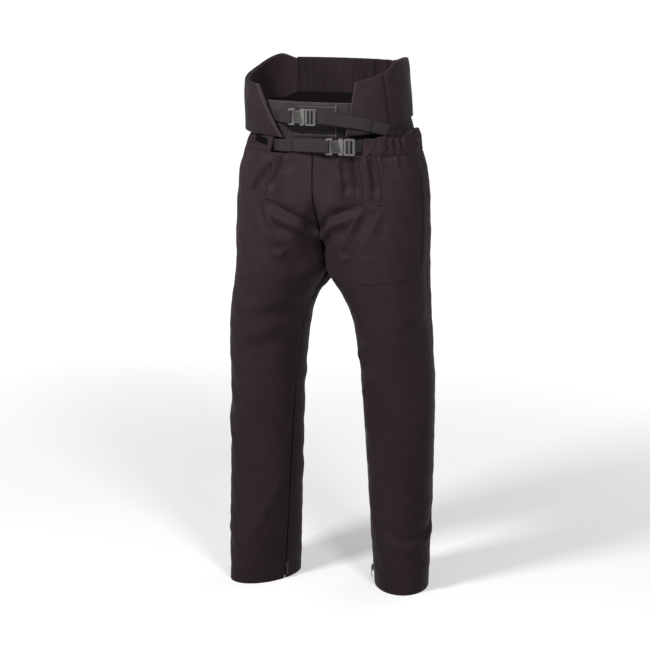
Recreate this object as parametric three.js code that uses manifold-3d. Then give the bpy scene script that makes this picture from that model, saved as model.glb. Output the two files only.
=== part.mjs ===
// Padded ice-hockey trousers with a kidney belt. Millimetres, +Z up, front towards -Y, wearer's left towards +X.
// The hems stand on z = 0 and x = 0 is the middle of the body.
import * as THREE from 'three';
import { mergeVertices } from 'three/addons/utils/BufferGeometryUtils.js';
import Module from 'manifold-3d';

const wasm = await Module();
wasm.setup();

// ---- driving dimensions ----
const WAIST_Z = 957; // top edge of the trouser panels
const CROTCH_TOP = { front: 870, back: 790 }; // where the centre seams start to curve under
const FORK = { y: -25, z: 700 }; // where the four panels meet
const LEG_TOP_Z = 668;
const ZIP_TOP_Z = 430;
const TWILL = 2.4; // twill and its lining
const SEAM = 0.5; // half the gap left at a seam
const SEAT_SAG = 120;
const FRONT_FALL = 0.9; // how straight the centre-front seam falls back to the fork
const STRIDE = { x: 22, y: -55 }; // the right foot stands forward of the left by this much at its hem
const WEBBING_WIDTH = 25;
const WEBBING = 1.5;

// one leg at the hem, the knee, the thigh and the fork:
// height, centre outwards, centre back, half width, half depth, toe-out angle
const LEG = [
  { z: 0, c: 163, y: 3, a: 60, b: 94, turn: 22 },
  { z: 420, c: 155, y: 0, a: 80, b: 85, turn: 18 },
  { z: 600, c: 140, y: -5, a: 85, b: 110, turn: 8 },
  { z: 700, c: 112, y: 0, a: 104, b: 122, turn: 0 },
];
// the body above the legs: height, half width, half depth in front, half depth behind
const TRUNK = [
  { z: 668, w: 219, front: 121, back: 124 },
  { z: 700, w: 217, front: 122, back: 126 },
  { z: 760, w: 218, front: 124, back: 130 },
  { z: 820, w: 217, front: 123, back: 130 },
  { z: 880, w: 213, front: 120, back: 124 },
  { z: 957, w: 205, front: 116, back: 116 },
];
// the kidney belt, an oval that leans to the wearer's right and narrows upwards
const BELT_Z = { low: 1010, top: 1150 };
const BELT = { x: -12, y: 6, w: 186, d: 119, narrows: 7 };
// angle from the front in degrees, top edge, bottom edge: front corner, side, peak, joint with the lumbar panel
const WING_LEFT = [
  { at: 20, top: 1100, low: 995 },
  { at: 60, top: 1130, low: 1010 },
  { at: 75, top: 1150, low: 1020 },
  { at: 100, top: 1155, low: 1030 },
  { at: 145, top: 1140, low: 1025 },
];
const WING_RIGHT = [
  { at: 20, top: 1095, low: 990 },
  { at: 70, top: 1105, low: 995 },
  { at: 100, top: 1125, low: 1000 },
  { at: 130, top: 1150, low: 1020 },
  { at: 145, top: 1140, low: 1025 },
];

// ---- colours ----
const fabric = (hex) => ({ color: hex, roughness: 0.9, metalness: 0 });
const TWILL_BROWN = fabric(0x2c2626);
const LINING_BLACK = fabric(0x1c1b1c);
const FOAM_GREY = fabric(0x3a3a3c);
const WEB_GREY = fabric(0x30302d);
const PLASTIC = { color: 0x4a4947, roughness: 0.4, metalness: 0 };
const ZIP_BLACK = { color: 0x1a1a1a, roughness: 0.5, metalness: 0 };

const group = new THREE.Group();
group.name = 'hockey_trousers';

const rad = THREE.MathUtils.degToRad;
const lerp = THREE.MathUtils.lerp;
const clamp = THREE.MathUtils.clamp;

function add(name, geometry, look) {
  const mesh = new THREE.Mesh(geometry, new THREE.MeshStandardMaterial(look));
  mesh.name = name;
  group.add(mesh);
  return mesh;
}

// value of one column of a table of stations, smoothly between its rows
function along(rows, by, key, at) {
  const last = rows.length - 1;
  if (at <= rows[0][by]) return rows[0][key];
  if (at >= rows[last][by]) return rows[last][key];
  let i = 0;
  while (rows[i + 1][by] < at) i += 1;
  const slope = (k) => {
    const lo = rows[Math.max(k - 1, 0)];
    const hi = rows[Math.min(k + 1, last)];
    return (hi[key] - lo[key]) / (hi[by] - lo[by]);
  };
  const step = rows[i + 1][by] - rows[i][by];
  const s = (at - rows[i][by]) / step;
  const s2 = s * s;
  const s3 = s2 * s;
  return (
    (2 * s3 - 3 * s2 + 1) * rows[i][key] +
    (s3 - 2 * s2 + s) * step * slope(i) +
    (3 * s2 - 2 * s3) * rows[i + 1][key] +
    (s3 - s2) * step * slope(i + 1)
  );
}

const legAt = (z, key) => along(LEG, 'z', key, z);
const trunkAt = (z, key) => along(TRUNK, 'z', key, z);

// how far the right leg's section has swung forward at a height; the left leg hangs straight
function stride(side, z) {
  const share = side < 0 ? Math.max(0, (FORK.z - z) / FORK.z) : 0;
  return [STRIDE.x * share, STRIDE.y * share];
}

// turn a point of a leg's section about the leg's own centre
function turned(x, y, z, way = 1) {
  const a = rad(legAt(z, 'turn')) * way;
  const dx = x - legAt(z, 'c');
  const dy = y - legAt(z, 'y');
  return [
    legAt(z, 'c') + dx * Math.cos(a) - dy * Math.sin(a),
    legAt(z, 'y') + dx * Math.sin(a) + dy * Math.cos(a),
  ];
}

// the inner edge of a leg is straight below the top of its zip
function inseam(z) {
  const free = (h) => turned(legAt(h, 'c') - legAt(h, 'a'), legAt(h, 'y'), h);
  if (z >= ZIP_TOP_Z) return free(z);
  const low = free(0);
  const high = free(ZIP_TOP_Z);
  return [lerp(low[0], high[0], z / ZIP_TOP_Z), lerp(low[1], high[1], z / ZIP_TOP_Z)];
}

// inner edge of a panel for the row whose outseam end is at height h; face is -1 in front, 1 behind
function innerEdge(face, h) {
  const depth = (z) => face * trunkAt(z, face < 0 ? 'front' : 'back');
  const top = face < 0 ? CROTCH_TOP.front : CROTCH_TOP.back;
  if (h >= top) return [0, depth(h), h];
  if (h >= FORK.z && face < 0) {
    const s = (h - FORK.z) / (top - FORK.z);
    return [0, FORK.y + (depth(top) - FORK.y) * s ** FRONT_FALL, h];
  }
  if (h >= FORK.z) {
    const a = ((top - h) / (top - FORK.z)) * (Math.PI / 2);
    const y = FORK.y + (depth(top) - FORK.y) * Math.cos(a);
    return [0, y, top - (top - FORK.z) * Math.sin(a) - SEAT_SAG * Math.sin(a) ** 3 * Math.cos(a)];
  }
  if (h >= LEG_TOP_Z) {
    const s = (FORK.z - h) / (FORK.z - LEG_TOP_Z);
    const end = inseam(LEG_TOP_Z);
    return [lerp(0, end[0], s), lerp(FORK.y, end[1], s), h];
  }
  return [...inseam(h), h];
}

// a point of the trouser surface: t runs from the inner edge to the outseam, h is the height at the outseam
function panelPoint(side, face, t, h) {
  const top = face < 0 ? CROTCH_TOP.front : CROTCH_TOP.back;
  const fall = clamp((top - h) / (top - FORK.z), 0, 1); // 0 on the body, 1 on the leg
  const split = 0.5 * fall;
  const isLeg = h < FORK.z;
  const edge = innerEdge(face, h);
  const gap = h < ZIP_TOP_Z + 8 ? 3.6 : SEAM;
  const local = isLeg ? turned(edge[0], edge[1], h, -1) : edge;
  const ex = local[0] + (isLeg ? 0 : SEAM);
  const ey = local[1] + (h < top ? face * gap * clamp((top - h) / 60, 0, 1) : 0);
  const centreX = isLeg ? legAt(h, 'c') : fall * legAt(FORK.z, 'c');
  const centreY = isLeg ? legAt(h, 'y') : 0;
  const outX = isLeg ? legAt(h, 'c') + legAt(h, 'a') : trunkAt(h, 'w');
  const deep = isLeg ? legAt(h, 'b') : trunkAt(h, face < 0 ? 'front' : 'back');
  const power = isLeg ? 1 : lerp(2 / 2.3, 1, fall);
  const farY = centreY + face * deep;
  const outY = centreY + face * SEAM;
  let x;
  let y;
  if (t < split) {
    const s = t / split;
    const a = s * (Math.PI / 2);
    const round = face < 0 && !isLeg ? fall ** 2 : 1; // the front dips to its seam in an S, the leg is round
    const wave = s * s * (3 - 2 * s);
    x = centreX + (ex - centreX) * lerp(1 - s, Math.cos(a), round);
    y = ey + (farY - ey) * lerp(wave, Math.sin(a), round);
  } else {
    const a = ((t - split) / (1 - split)) * (Math.PI / 2);
    const from = split > 0 ? centreX : ex;
    x = from + (outX - from) * Math.sin(a) ** power;
    y = outY + (farY - outY) * Math.cos(a) ** power;
  }
  const droop = face > 0 ? clamp(1 - Math.abs(h - 694) / 62, 0, 1) : 0;
  const s = t / 0.12;
  const z = lerp(edge[2], h, Math.min(1, t * 1.6)) - 26 * droop * s * Math.exp(1 - s) * (1 - t);
  if (isLeg) [x, y] = turned(x, y, h);
  const [forwardX, forwardY] = stride(side, h);
  return new THREE.Vector3(side * x + forwardX, y + forwardY, z);
}

// closed slab between two offsets of a surface; surface(u, v) gives a point, heart(p) a point inside the body
// levelEnds keeps the first and last rows flat, as a cut edge or a hem is
function slab(surface, heart, nu, nv, outer, inner, levelEnds = false) {
  const e = 1e-3;
  const points = [];
  for (const depth of [outer, inner]) {
    for (let j = 0; j <= nv; j += 1) {
      for (let i = 0; i <= nu; i += 1) {
        const u = i / nu;
        const v = j / nv;
        const p = surface(u, v);
        const du = surface(Math.min(u + e, 1), v).sub(surface(Math.max(u - e, 0), v));
        const dv = surface(u, Math.min(v + e, 1)).sub(surface(u, Math.max(v - e, 0)));
        const normal = du.cross(dv).normalize();
        if (levelEnds && (j === 0 || j === nv)) normal.setZ(0).normalize();
        if (normal.dot(p.clone().sub(heart(p))) < 0) normal.negate();
        points.push(p.addScaledVector(normal, depth));
      }
    }
  }
  return gridSolid(points, nu, nv);
}

// solid from two grids of points, outer first, with its rim closed
function gridSolid(points, nu, nv) {
  const row = nu + 1;
  const layer = row * (nv + 1);
  const index = [];
  const quad = (a, b, c, d) => index.push(a, b, c, a, c, d);
  for (let j = 0; j < nv; j += 1) {
    for (let i = 0; i < nu; i += 1) {
      const a = j * row + i;
      quad(a, a + 1, a + 1 + row, a + row);
      quad(layer + a, layer + a + row, layer + a + 1 + row, layer + a + 1);
    }
  }
  for (let i = 0; i < nu; i += 1) {
    const b = nv * row + i;
    quad(i, layer + i, layer + i + 1, i + 1);
    quad(b, b + 1, layer + b + 1, layer + b);
  }
  for (let j = 0; j < nv; j += 1) {
    const a = j * row;
    const b = a + nu;
    quad(a, a + row, layer + a + row, layer + a);
    quad(b, layer + b, layer + b + row, b + row);
  }
  const geometry = new THREE.BufferGeometry();
  geometry.setAttribute('position', new THREE.Float32BufferAttribute(points.flatMap((p) => [p.x, p.y, p.z]), 3));
  geometry.setIndex(index);
  return facingOut(geometry);
}

function facingOut(geometry) {
  const at = geometry.getAttribute('position');
  const index = geometry.getIndex().array;
  const [a, b, c] = [new THREE.Vector3(), new THREE.Vector3(), new THREE.Vector3()];
  let volume = 0;
  for (let i = 0; i < index.length; i += 3) {
    a.fromBufferAttribute(at, index[i]);
    b.fromBufferAttribute(at, index[i + 1]);
    c.fromBufferAttribute(at, index[i + 2]);
    volume += a.dot(b.cross(c));
  }
  if (volume < 0) {
    for (let i = 0; i < index.length; i += 3) [index[i], index[i + 1]] = [index[i + 1], index[i]];
  }
  return geometry;
}

// ---- trouser panels and what lies against their inside ----
const bodyHeart = (side) => (p) => {
  const x = p.z < FORK.z ? legAt(p.z, 'c') : 60;
  const [forwardX, forwardY] = stride(side, p.z);
  return new THREE.Vector3(side * x + forwardX, forwardY, p.z);
};

// the heights of a panel's rows, closer together round the fork
const ROWS = [957, 915, 870, 848, 826, 804, 790, 772, 754, 736, 718, 700, 684, 668, 640, 600, 550, 490, 439, 437];
const LOW_ROWS = [360, 280, 200, 120, 60, 0];
const heights = [...ROWS, ...LOW_ROWS];
const rowHeight = (v) => {
  const k = v * (heights.length - 1);
  const i = Math.min(Math.floor(k), heights.length - 2);
  return lerp(heights[i], heights[i + 1], k - i);
};

function panel(side, face) {
  const surface = (u, v) => panelPoint(side, face, u, rowHeight(v));
  return slab(surface, bodyHeart(side), 16, heights.length - 1, 0, -TWILL, true);
}

// a piece that follows the panel between t0..t1 and top..low, between two depths below the surface
function insidePanel(side, face, [t0, t1], [top, low], [outer, inner], nu, nv) {
  const surface = (u, v) => panelPoint(side, face, lerp(t0, t1, u), lerp(top, low, v));
  return slab(surface, bodyHeart(side), nu, nv, -outer, -inner);
}

const SIDES = { right: -1, left: 1 };
for (const [hand, side] of Object.entries(SIDES)) {
  add(`front_panel_${hand}`, panel(side, -1), TWILL_BROWN);
  add(`back_panel_${hand}`, panel(side, 1), TWILL_BROWN);
  add(`pocket_bag_${hand}`, insidePanel(side, -1, [0.6, 0.97], [935, 715], [4.2, 5.6], 8, 8), LINING_BLACK);
  add(`pocket_welt_${hand}`, insidePanel(side, -1, [0.9, 0.985], [935, 715], [-1.8, -0.4], 3, 6), TWILL_BROWN);
  add(`hip_pad_${hand}`, insidePanel(side, 1, [0.5, 0.97], [925, 730], [7, 19], 6, 5), FOAM_GREY);
  add(`thigh_pad_${hand}`, insidePanel(side, -1, [0.36, 0.86], [650, 430], [6, 18], 7, 6), FOAM_GREY);
}

// one tailbone pad across the centre-back seam
const tailSurface = (u, v) => {
  const t = Math.abs(u - 0.5) * 2 * 0.36;
  const p = panelPoint(u < 0.5 ? -1 : 1, 1, t, lerp(930, 800, v));
  if (t < 1e-6) p.x = 0;
  return p;
};
add('tailbone_pad', slab(tailSurface, (p) => new THREE.Vector3(0, 0, p.z), 8, 4, -6, -18), FOAM_GREY);

// ---- waistband, inner bands and kidney belt: pieces of upright ovals ----
// angle is measured from the front, positive towards the wearer's left
function ovalPoint(oval, angle, z, power = 2.3) {
  const a = rad(angle);
  const bend = (s) => Math.sign(s) * Math.abs(s) ** (2 / power);
  return new THREE.Vector3(oval.x + oval.w * bend(Math.sin(a)), oval.y - oval.d * bend(Math.cos(a)), z);
}

// a curved band between two heights; its first end may slope from angle `from` at the bottom to `fromTop`
function band(oval, [from, to, fromTop = from], top, low, thick, nu, nv = 1, proud = 0) {
  const surface = (u, v) => {
    const angle = lerp(lerp(fromTop, from, v), to, u);
    const z = lerp(top(angle), low(angle), v);
    return ovalPoint(typeof oval === 'function' ? oval(z) : oval, angle, z);
  };
  const heart = (p) => new THREE.Vector3(0, 0, p.z);
  return slab(surface, heart, nu, nv, proud, proud - thick, true);
}

const level = (z) => () => z;
const waistOval = (z) => {
  const s = (z - WAIST_Z) / 33;
  return { x: 5 * s, y: 0, w: 205 - 7 * s, d: 116 - 2 * s };
};
// the gathered waistband stands higher at the sides and behind
const WAIST_TOP = [
  { at: 27, top: 990 },
  { at: 60, top: 990 },
  { at: 98, top: 998 },
  { at: 142, top: 1001 },
  { at: 180, top: 1002 },
];
const waistTop = (angle) => along(WAIST_TOP, 'at', 'top', angle > 180 ? 360 - angle : Math.abs(angle));
const WAIST_LOW = WAIST_Z + 0.5;
add('waistband_front_right', band(waistOval, [-27, -71.8], waistTop, level(WAIST_LOW), 4, 6, 2), TWILL_BROWN);
add('waistband_front_left', band(waistOval, [28.5, 71.8], waistTop, level(WAIST_LOW), 4, 6, 2), TWILL_BROWN);
add('waistband_back', band(waistOval, [72.2, 287.8], waistTop, level(WAIST_LOW), 4, 22, 2), TWILL_BROWN);

const beltOval = (z) => {
  const lean = (BELT.narrows * (z - BELT_Z.low)) / (BELT_Z.top - BELT_Z.low);
  return { x: BELT.x - lean, y: BELT.y, w: BELT.w - lean, d: BELT.d };
};
const wingTop = (rows) => (angle) => along(rows, 'at', 'top', Math.abs(angle));
const wingLow = (rows) => (angle) => along(rows, 'at', 'low', Math.abs(angle));
const WING_FRONT_TOP = { right: 40, left: 32 }; // where the sloping front edge ends at the top
const WING_FRONT_LOW = { right: 17, left: 22 }; // and at the bottom
const WING_BACK = { right: 147, left: 142 };
const WING_LAYERS = [
  ['cover', 1.2, 0, TWILL_BROWN],
  ['foam', 8, -1.6, FOAM_GREY],
  ['lining', 1.2, -10, LINING_BLACK],
];
for (const [hand, side] of Object.entries(SIDES)) {
  const rows = side > 0 ? WING_LEFT : WING_RIGHT;
  for (const [layer, thick, proud, look] of WING_LAYERS) {
    const span = [side * WING_FRONT_LOW[hand], side * WING_BACK[hand], side * WING_FRONT_TOP[hand]];
    const solid = band(beltOval, span, wingTop(rows), wingLow(rows), thick, 20, 3, proud);
    add(`kidney_${layer}_${hand}`, solid, look);
  }
}
const lumbarOval = (z) => {
  const { x, y, w, d } = beltOval(z);
  return { x, y: y - 4, w: w - 2, d };
};
add('lumbar_panel', band(lumbarOval, [WING_BACK.left + 0.8, 359.2 - WING_BACK.right], level(1142), level(1005), 4, 12, 2, -1), TWILL_BROWN);
const INNER = { x: -14, y: 5, w: 162, d: 101 };
add('back_elastic_band', band(INNER, [99, 261], level(1068), level(1018), 2, 16), LINING_BLACK);
add('inner_front_panel', band(INNER, [-78, 78], level(1065), level(962), 1.6, 16, 2), LINING_BLACK);
add('front_patch', band(INNER, [-10, 19], level(1061), level(992), 1.2, 4, 1, 1.6), LINING_BLACK);

const cuff = { x: 3, y: 0, w: 203, d: 119 };
add('label', band(cuff, [-46, -31], level(988), level(974), 1, 2), { color: 0x0c0c0c, roughness: 0.8, metalness: 0 });
for (const [hand, side] of Object.entries(SIDES)) {
  const rows = side > 0 ? WING_LEFT : WING_RIGHT;
  const top = (angle) => wingLow(rows)(angle) - 1;
  const tab = band({ x: 0, y: 2, w: 183, d: 110 }, [side * 58, side * 100], top, (angle) => top(angle) - 20, 1.5, 8);
  add(`side_adjuster_${hand}`, tab, LINING_BLACK);
}

// ---- side-release buckles; x along the strap, y through the thickness, z across the strap ----
const BUCKLE = { half: 17, thick: 9, rear: -31, mouth: 6.5, front: 31, travel: 30 };

function box(x0, x1, y0, y1, z0, z1) {
  const g = new THREE.BoxGeometry(x1 - x0, y1 - y0, z1 - z0);
  return g.translate((x0 + x1) / 2, (y0 + y1) / 2, (z0 + z1) / 2);
}

// plate in the x-z plane with rounded corners, centred on y = 0
function plate(x0, x1, z0, z1, r, thick) {
  const s = new THREE.Shape();
  s.moveTo(x0 + r, z0);
  s.lineTo(x1 - r, z0);
  s.absarc(x1 - r, z0 + r, r, -Math.PI / 2, 0, false);
  s.lineTo(x1, z1 - r);
  s.absarc(x1 - r, z1 - r, r, 0, Math.PI / 2, false);
  s.lineTo(x0 + r, z1);
  s.absarc(x0 + r, z1 - r, r, Math.PI / 2, Math.PI, false);
  s.lineTo(x0, z0 + r);
  s.absarc(x0 + r, z0 + r, r, Math.PI, 1.5 * Math.PI, false);
  return extruded(s, thick);
}

function extruded(shape, thick) {
  const g = new THREE.ExtrudeGeometry(shape, { depth: thick, bevelEnabled: false, curveSegments: 4 });
  g.translate(0, 0, -thick / 2);
  return g.rotateX(Math.PI / 2);
}

function toManifold(geometry) {
  const bare = geometry.clone();
  bare.deleteAttribute('normal');
  bare.deleteAttribute('uv');
  const g = mergeVertices(bare, 1e-4);
  return new wasm.Manifold(
    new wasm.Mesh({
      numProp: 3,
      vertProperties: new Float32Array(g.getAttribute('position').array),
      triVerts: new Uint32Array(g.getIndex().array),
    }),
  );
}

function fromManifold(solid) {
  const mesh = solid.getMesh();
  const g = new THREE.BufferGeometry();
  g.setAttribute('position', new THREE.BufferAttribute(new Float32Array(mesh.vertProperties), 3));
  g.setIndex(new THREE.BufferAttribute(new Uint32Array(mesh.triVerts), 1));
  return g;
}

function carve(base, cuts, joins = []) {
  let solid = toManifold(base);
  for (const g of joins) solid = solid.add(toManifold(g));
  for (const g of cuts) solid = solid.subtract(toManifold(g));
  return fromManifold(solid);
}

function socket() {
  const b = BUCKLE;
  const body = plate(b.rear, b.mouth, -b.half, b.half, 4, b.thick);
  return carve(body, [
    box(-20, b.mouth + 1, -3.2, 3.2, -13.4, 13.4),
    box(-17, -3, -b.thick, b.thick, 12.6, 20),
    box(-17, -3, -b.thick, b.thick, -20, -12.6),
    box(-26, -22.5, -b.thick, b.thick, -13.4, 13.4),
    box(-15, -6, -b.thick, -4, -7, 7),
  ]);
}

function plug() {
  const b = BUCKLE;
  const frame = plate(8, b.front, -b.half, b.half, 3, 6.4);
  const tongue = box(-18, 9, -1.6, 1.6, -4.6, 4.6);
  const slots = [
    box(13, 17, -b.thick, b.thick, -13.4, 13.4),
    box(22, 26, -b.thick, b.thick, -13.4, 13.4),
  ];
  return carve(frame, slots, [tongue]);
}

function prong(way) {
  const s = new THREE.Shape();
  const outline = [
    [7.6, 7.6],
    [7.6, 10.6],
    [-3, 11.4],
    [-4.4, 12.8],
    [-14, 12.8],
    [-17, 10.4],
    [-17, 8.8],
    [-6, 8.8],
  ];
  outline.forEach(([x, z], i) => (i ? s.lineTo(x, z) : s.moveTo(x, z)));
  s.closePath();
  const g = extruded(s, 5);
  return way > 0 ? g : g.rotateX(Math.PI);
}

// where each buckle sits: its middle, and how far its strap direction turns about z
const PLACES = {
  upper: { at: [-22, -120, 1036], turn: -4 },
  lower: { at: [63, -118.5, 977], turn: 9 },
};
const placed = ({ at, turn }) =>
  new THREE.Matrix4().makeTranslation(...at).multiply(new THREE.Matrix4().makeRotationZ(rad(turn)));

for (const [name, place] of Object.entries(PLACES)) {
  const m = placed(place);
  add(`${name}_socket`, socket().applyMatrix4(m), PLASTIC);
  add(`${name}_plug`, plug().applyMatrix4(m), PLASTIC);
  add(`${name}_prong_top`, prong(1).applyMatrix4(m), PLASTIC);
  add(`${name}_prong_bottom`, prong(-1).applyMatrix4(m), PLASTIC);
}

// ---- webbing: a flat strap swept along a path, its width as near upright as the path allows ----
function webbing(path, width = WEBBING_WIDTH, thick = WEBBING) {
  const curve = new THREE.CatmullRomCurve3(path, false, 'centripetal');
  const steps = path.length * 5;
  const across = [];
  for (let i = 0; i <= steps; i += 1) {
    const p = curve.getPointAt(i / steps);
    const t = curve.getTangentAt(i / steps);
    const up = new THREE.Vector3(0, 0, 1).addScaledVector(t, -t.z).normalize();
    const out = t.clone().cross(up).normalize();
    across.push([p, up, out]);
  }
  const points = [];
  for (const depth of [thick / 2, -thick / 2]) {
    for (const s of [-width / 2, width / 2]) {
      for (const [p, up, out] of across) {
        points.push(p.clone().addScaledVector(up, s).addScaledVector(out, depth));
      }
    }
  }
  return gridSolid(points, steps, 1);
}

// a point near a buckle, in the buckle's own axes
const near = (name, x, y, z = 0) => new THREE.Vector3(x, y, z).applyMatrix4(placed(PLACES[name]));
const onBelt = (angle, z, out) => {
  const p = ovalPoint(beltOval(z), angle, z);
  return p.add(new THREE.Vector3(p.x, p.y * 2.4, 0).normalize().multiplyScalar(out));
};
const onWaist = (angle, z, out) => {
  const p = ovalPoint(waistOval(z), angle, z);
  return p.add(new THREE.Vector3(p.x, p.y * 3, 0).normalize().multiplyScalar(out));
};

// both fixed ends pass round the socket's rear bar
const aroundBar = (name) => [
  near(name, -36, -6),
  near(name, -31, -6.2),
  near(name, -26.2, -6.2),
  near(name, -24.4, -5),
  near(name, -24.2, -1),
];
// the adjusting ends come out of the plug's slot from behind
const fromSlot = (name) => [
  near(name, 24, -0.5),
  near(name, 24.2, 3),
  near(name, 26, 5.4),
  near(name, 33, 5.4),
];
const behindWing = (angle, z) => onBelt(angle, z, -13.4);
add(
  'upper_strap_right',
  webbing([behindWing(-40, 1033), behindWing(-23, 1034), near('upper', -46, -2), ...aroundBar('upper')]),
  WEB_GREY,
);
add(
  'upper_strap_left',
  webbing([...fromSlot('upper'), onBelt(14, 1034, -6), behindWing(24, 1032), behindWing(42, 1026)]),
  WEB_GREY,
);
add(
  'upper_strap_tail',
  webbing([
    near('upper', 15, 0.5),
    near('upper', 15.2, -3),
    near('upper', 17, -5.2),
    near('upper', 26, -5.6),
    near('upper', 34, -5.4),
    onBelt(20, 1030, 4.5),
    onBelt(35, 1024, 3.5),
    onBelt(50, 1014, 3.5),
    onBelt(57, 1009, 3.5),
  ]),
  WEB_GREY,
);
add(
  'lower_strap_right',
  webbing([
    onWaist(-37, 973, -10),
    onWaist(-29, 973, -10),
    onWaist(-24, 973.5, -3),
    onWaist(-20, 974, 3),
    onWaist(-10, 975, 5),
    ...aroundBar('lower'),
  ]),
  WEB_GREY,
);
add(
  'lower_strap_left',
  webbing([...fromSlot('lower').slice(0, 3), near('lower', 31, 8.5), onWaist(30, 977, -8), onWaist(36, 977, -8)]),
  WEB_GREY,
);

// ---- inseam zips; x and y are the leg's own outward and forward directions at the inseam ----
function zipFrame(side, z, out, along = 0) {
  const p = inseam(z);
  const a = rad(20);
  const x = p[0] - out * Math.cos(a) + along * Math.sin(a);
  const y = p[1] - out * Math.sin(a) - along * Math.cos(a);
  const [forwardX, forwardY] = stride(side, z);
  return new THREE.Vector3(side * x + forwardX, y + forwardY, z);
}

function zipStrip(side, [low, high], [out, inward], half) {
  const points = [];
  for (const depth of [out, inward]) {
    for (const z of [low, high]) {
      for (const s of [-half, half]) points.push(zipFrame(side, z, depth, s));
    }
  }
  return gridSolid(points, 1, 1);
}

const SLIDER_Z = 32;
for (const [hand, side] of Object.entries(SIDES)) {
  add(`zip_tape_${hand}`, zipStrip(side, [4, ZIP_TOP_Z], [-6, -7.2], 11), LINING_BLACK);
  add(`zip_chain_${hand}`, zipStrip(side, [8, ZIP_TOP_Z - 4], [-0.4, -3], 2.6), ZIP_BLACK);
  add(`zip_slider_${hand}`, zipStrip(side, [SLIDER_Z - 6, SLIDER_Z + 6], [3.6, 0.2], 5), ZIP_BLACK);
  add(`zip_pull_${hand}`, zipStrip(side, [SLIDER_Z - 22, SLIDER_Z + 2], [5.7, 4.3], 3), ZIP_BLACK);
}

export default group;
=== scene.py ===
import math

import bmesh
import bpy
import numpy as np
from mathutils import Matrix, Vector


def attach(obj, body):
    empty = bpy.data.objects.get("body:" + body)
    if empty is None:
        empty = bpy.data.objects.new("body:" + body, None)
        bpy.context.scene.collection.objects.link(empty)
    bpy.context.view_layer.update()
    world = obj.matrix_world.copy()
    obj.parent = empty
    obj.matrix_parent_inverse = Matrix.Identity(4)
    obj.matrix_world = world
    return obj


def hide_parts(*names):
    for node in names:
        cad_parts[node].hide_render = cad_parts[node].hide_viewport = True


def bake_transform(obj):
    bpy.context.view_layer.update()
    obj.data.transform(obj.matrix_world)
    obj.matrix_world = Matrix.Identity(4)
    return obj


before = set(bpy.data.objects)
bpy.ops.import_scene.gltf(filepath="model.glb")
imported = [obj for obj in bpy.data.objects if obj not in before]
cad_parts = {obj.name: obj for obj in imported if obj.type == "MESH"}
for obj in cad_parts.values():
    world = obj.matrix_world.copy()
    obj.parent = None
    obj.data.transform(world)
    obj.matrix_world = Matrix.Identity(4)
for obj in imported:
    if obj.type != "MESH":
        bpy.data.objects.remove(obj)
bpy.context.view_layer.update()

MM = 0.001
SIDES = {"right": -1, "left": 1}


# ---- camera, floor and light ----
AZIMUTH = math.radians(22)
PITCH = math.radians(12.23)
DISTANCE = 4.14
EYE_HEIGHT = 1.465
LENS = 106.9
# the camera is turned about a point a little behind the origin, and stands a little to the left of it
BEHIND = 0.010
ASIDE = 0.0214

camera_data = bpy.data.cameras.new("camera")
camera_data.lens = LENS
camera_data.sensor_width = 36
camera = bpy.data.objects.new("camera", camera_data)
camera.rotation_euler = (math.pi / 2 - PITCH, 0, AZIMUTH)
camera.location = (
    DISTANCE * math.sin(AZIMUTH) - ASIDE * math.cos(AZIMUTH),
    -DISTANCE * math.cos(AZIMUTH) - ASIDE * math.sin(AZIMUTH) + BEHIND,
    EYE_HEIGHT,
)
bpy.context.collection.objects.link(camera)
bpy.context.scene.camera = camera


def area_light(name, at, target, size, watts):
    data = bpy.data.lights.new(name, "AREA")
    data.shape = "RECTANGLE"
    data.size, data.size_y = size
    data.energy = watts
    lamp = bpy.data.objects.new(name, data)
    lamp.location = at
    lamp.rotation_euler = (Vector(target) - Vector(at)).to_track_quat("-Z", "Y").to_euler()
    bpy.context.collection.objects.link(lamp)


area_light("key", (-0.85, -1.5, 2.3), (0, 0, 1.25), (0.45, 0.45), 80)
area_light("fill", (1.5, -1.7, 2.3), (0, 0, 1.2), (0.5, 0.6), 58)
area_light("rim", (0.9, 2.4, 2.4), (0, 0, 1.0), (1.6, 0.8), 22)
area_light("sky", (0, -0.2, 3.8), (0, 0, 0), (2.0, 2.0), 30)


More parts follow.
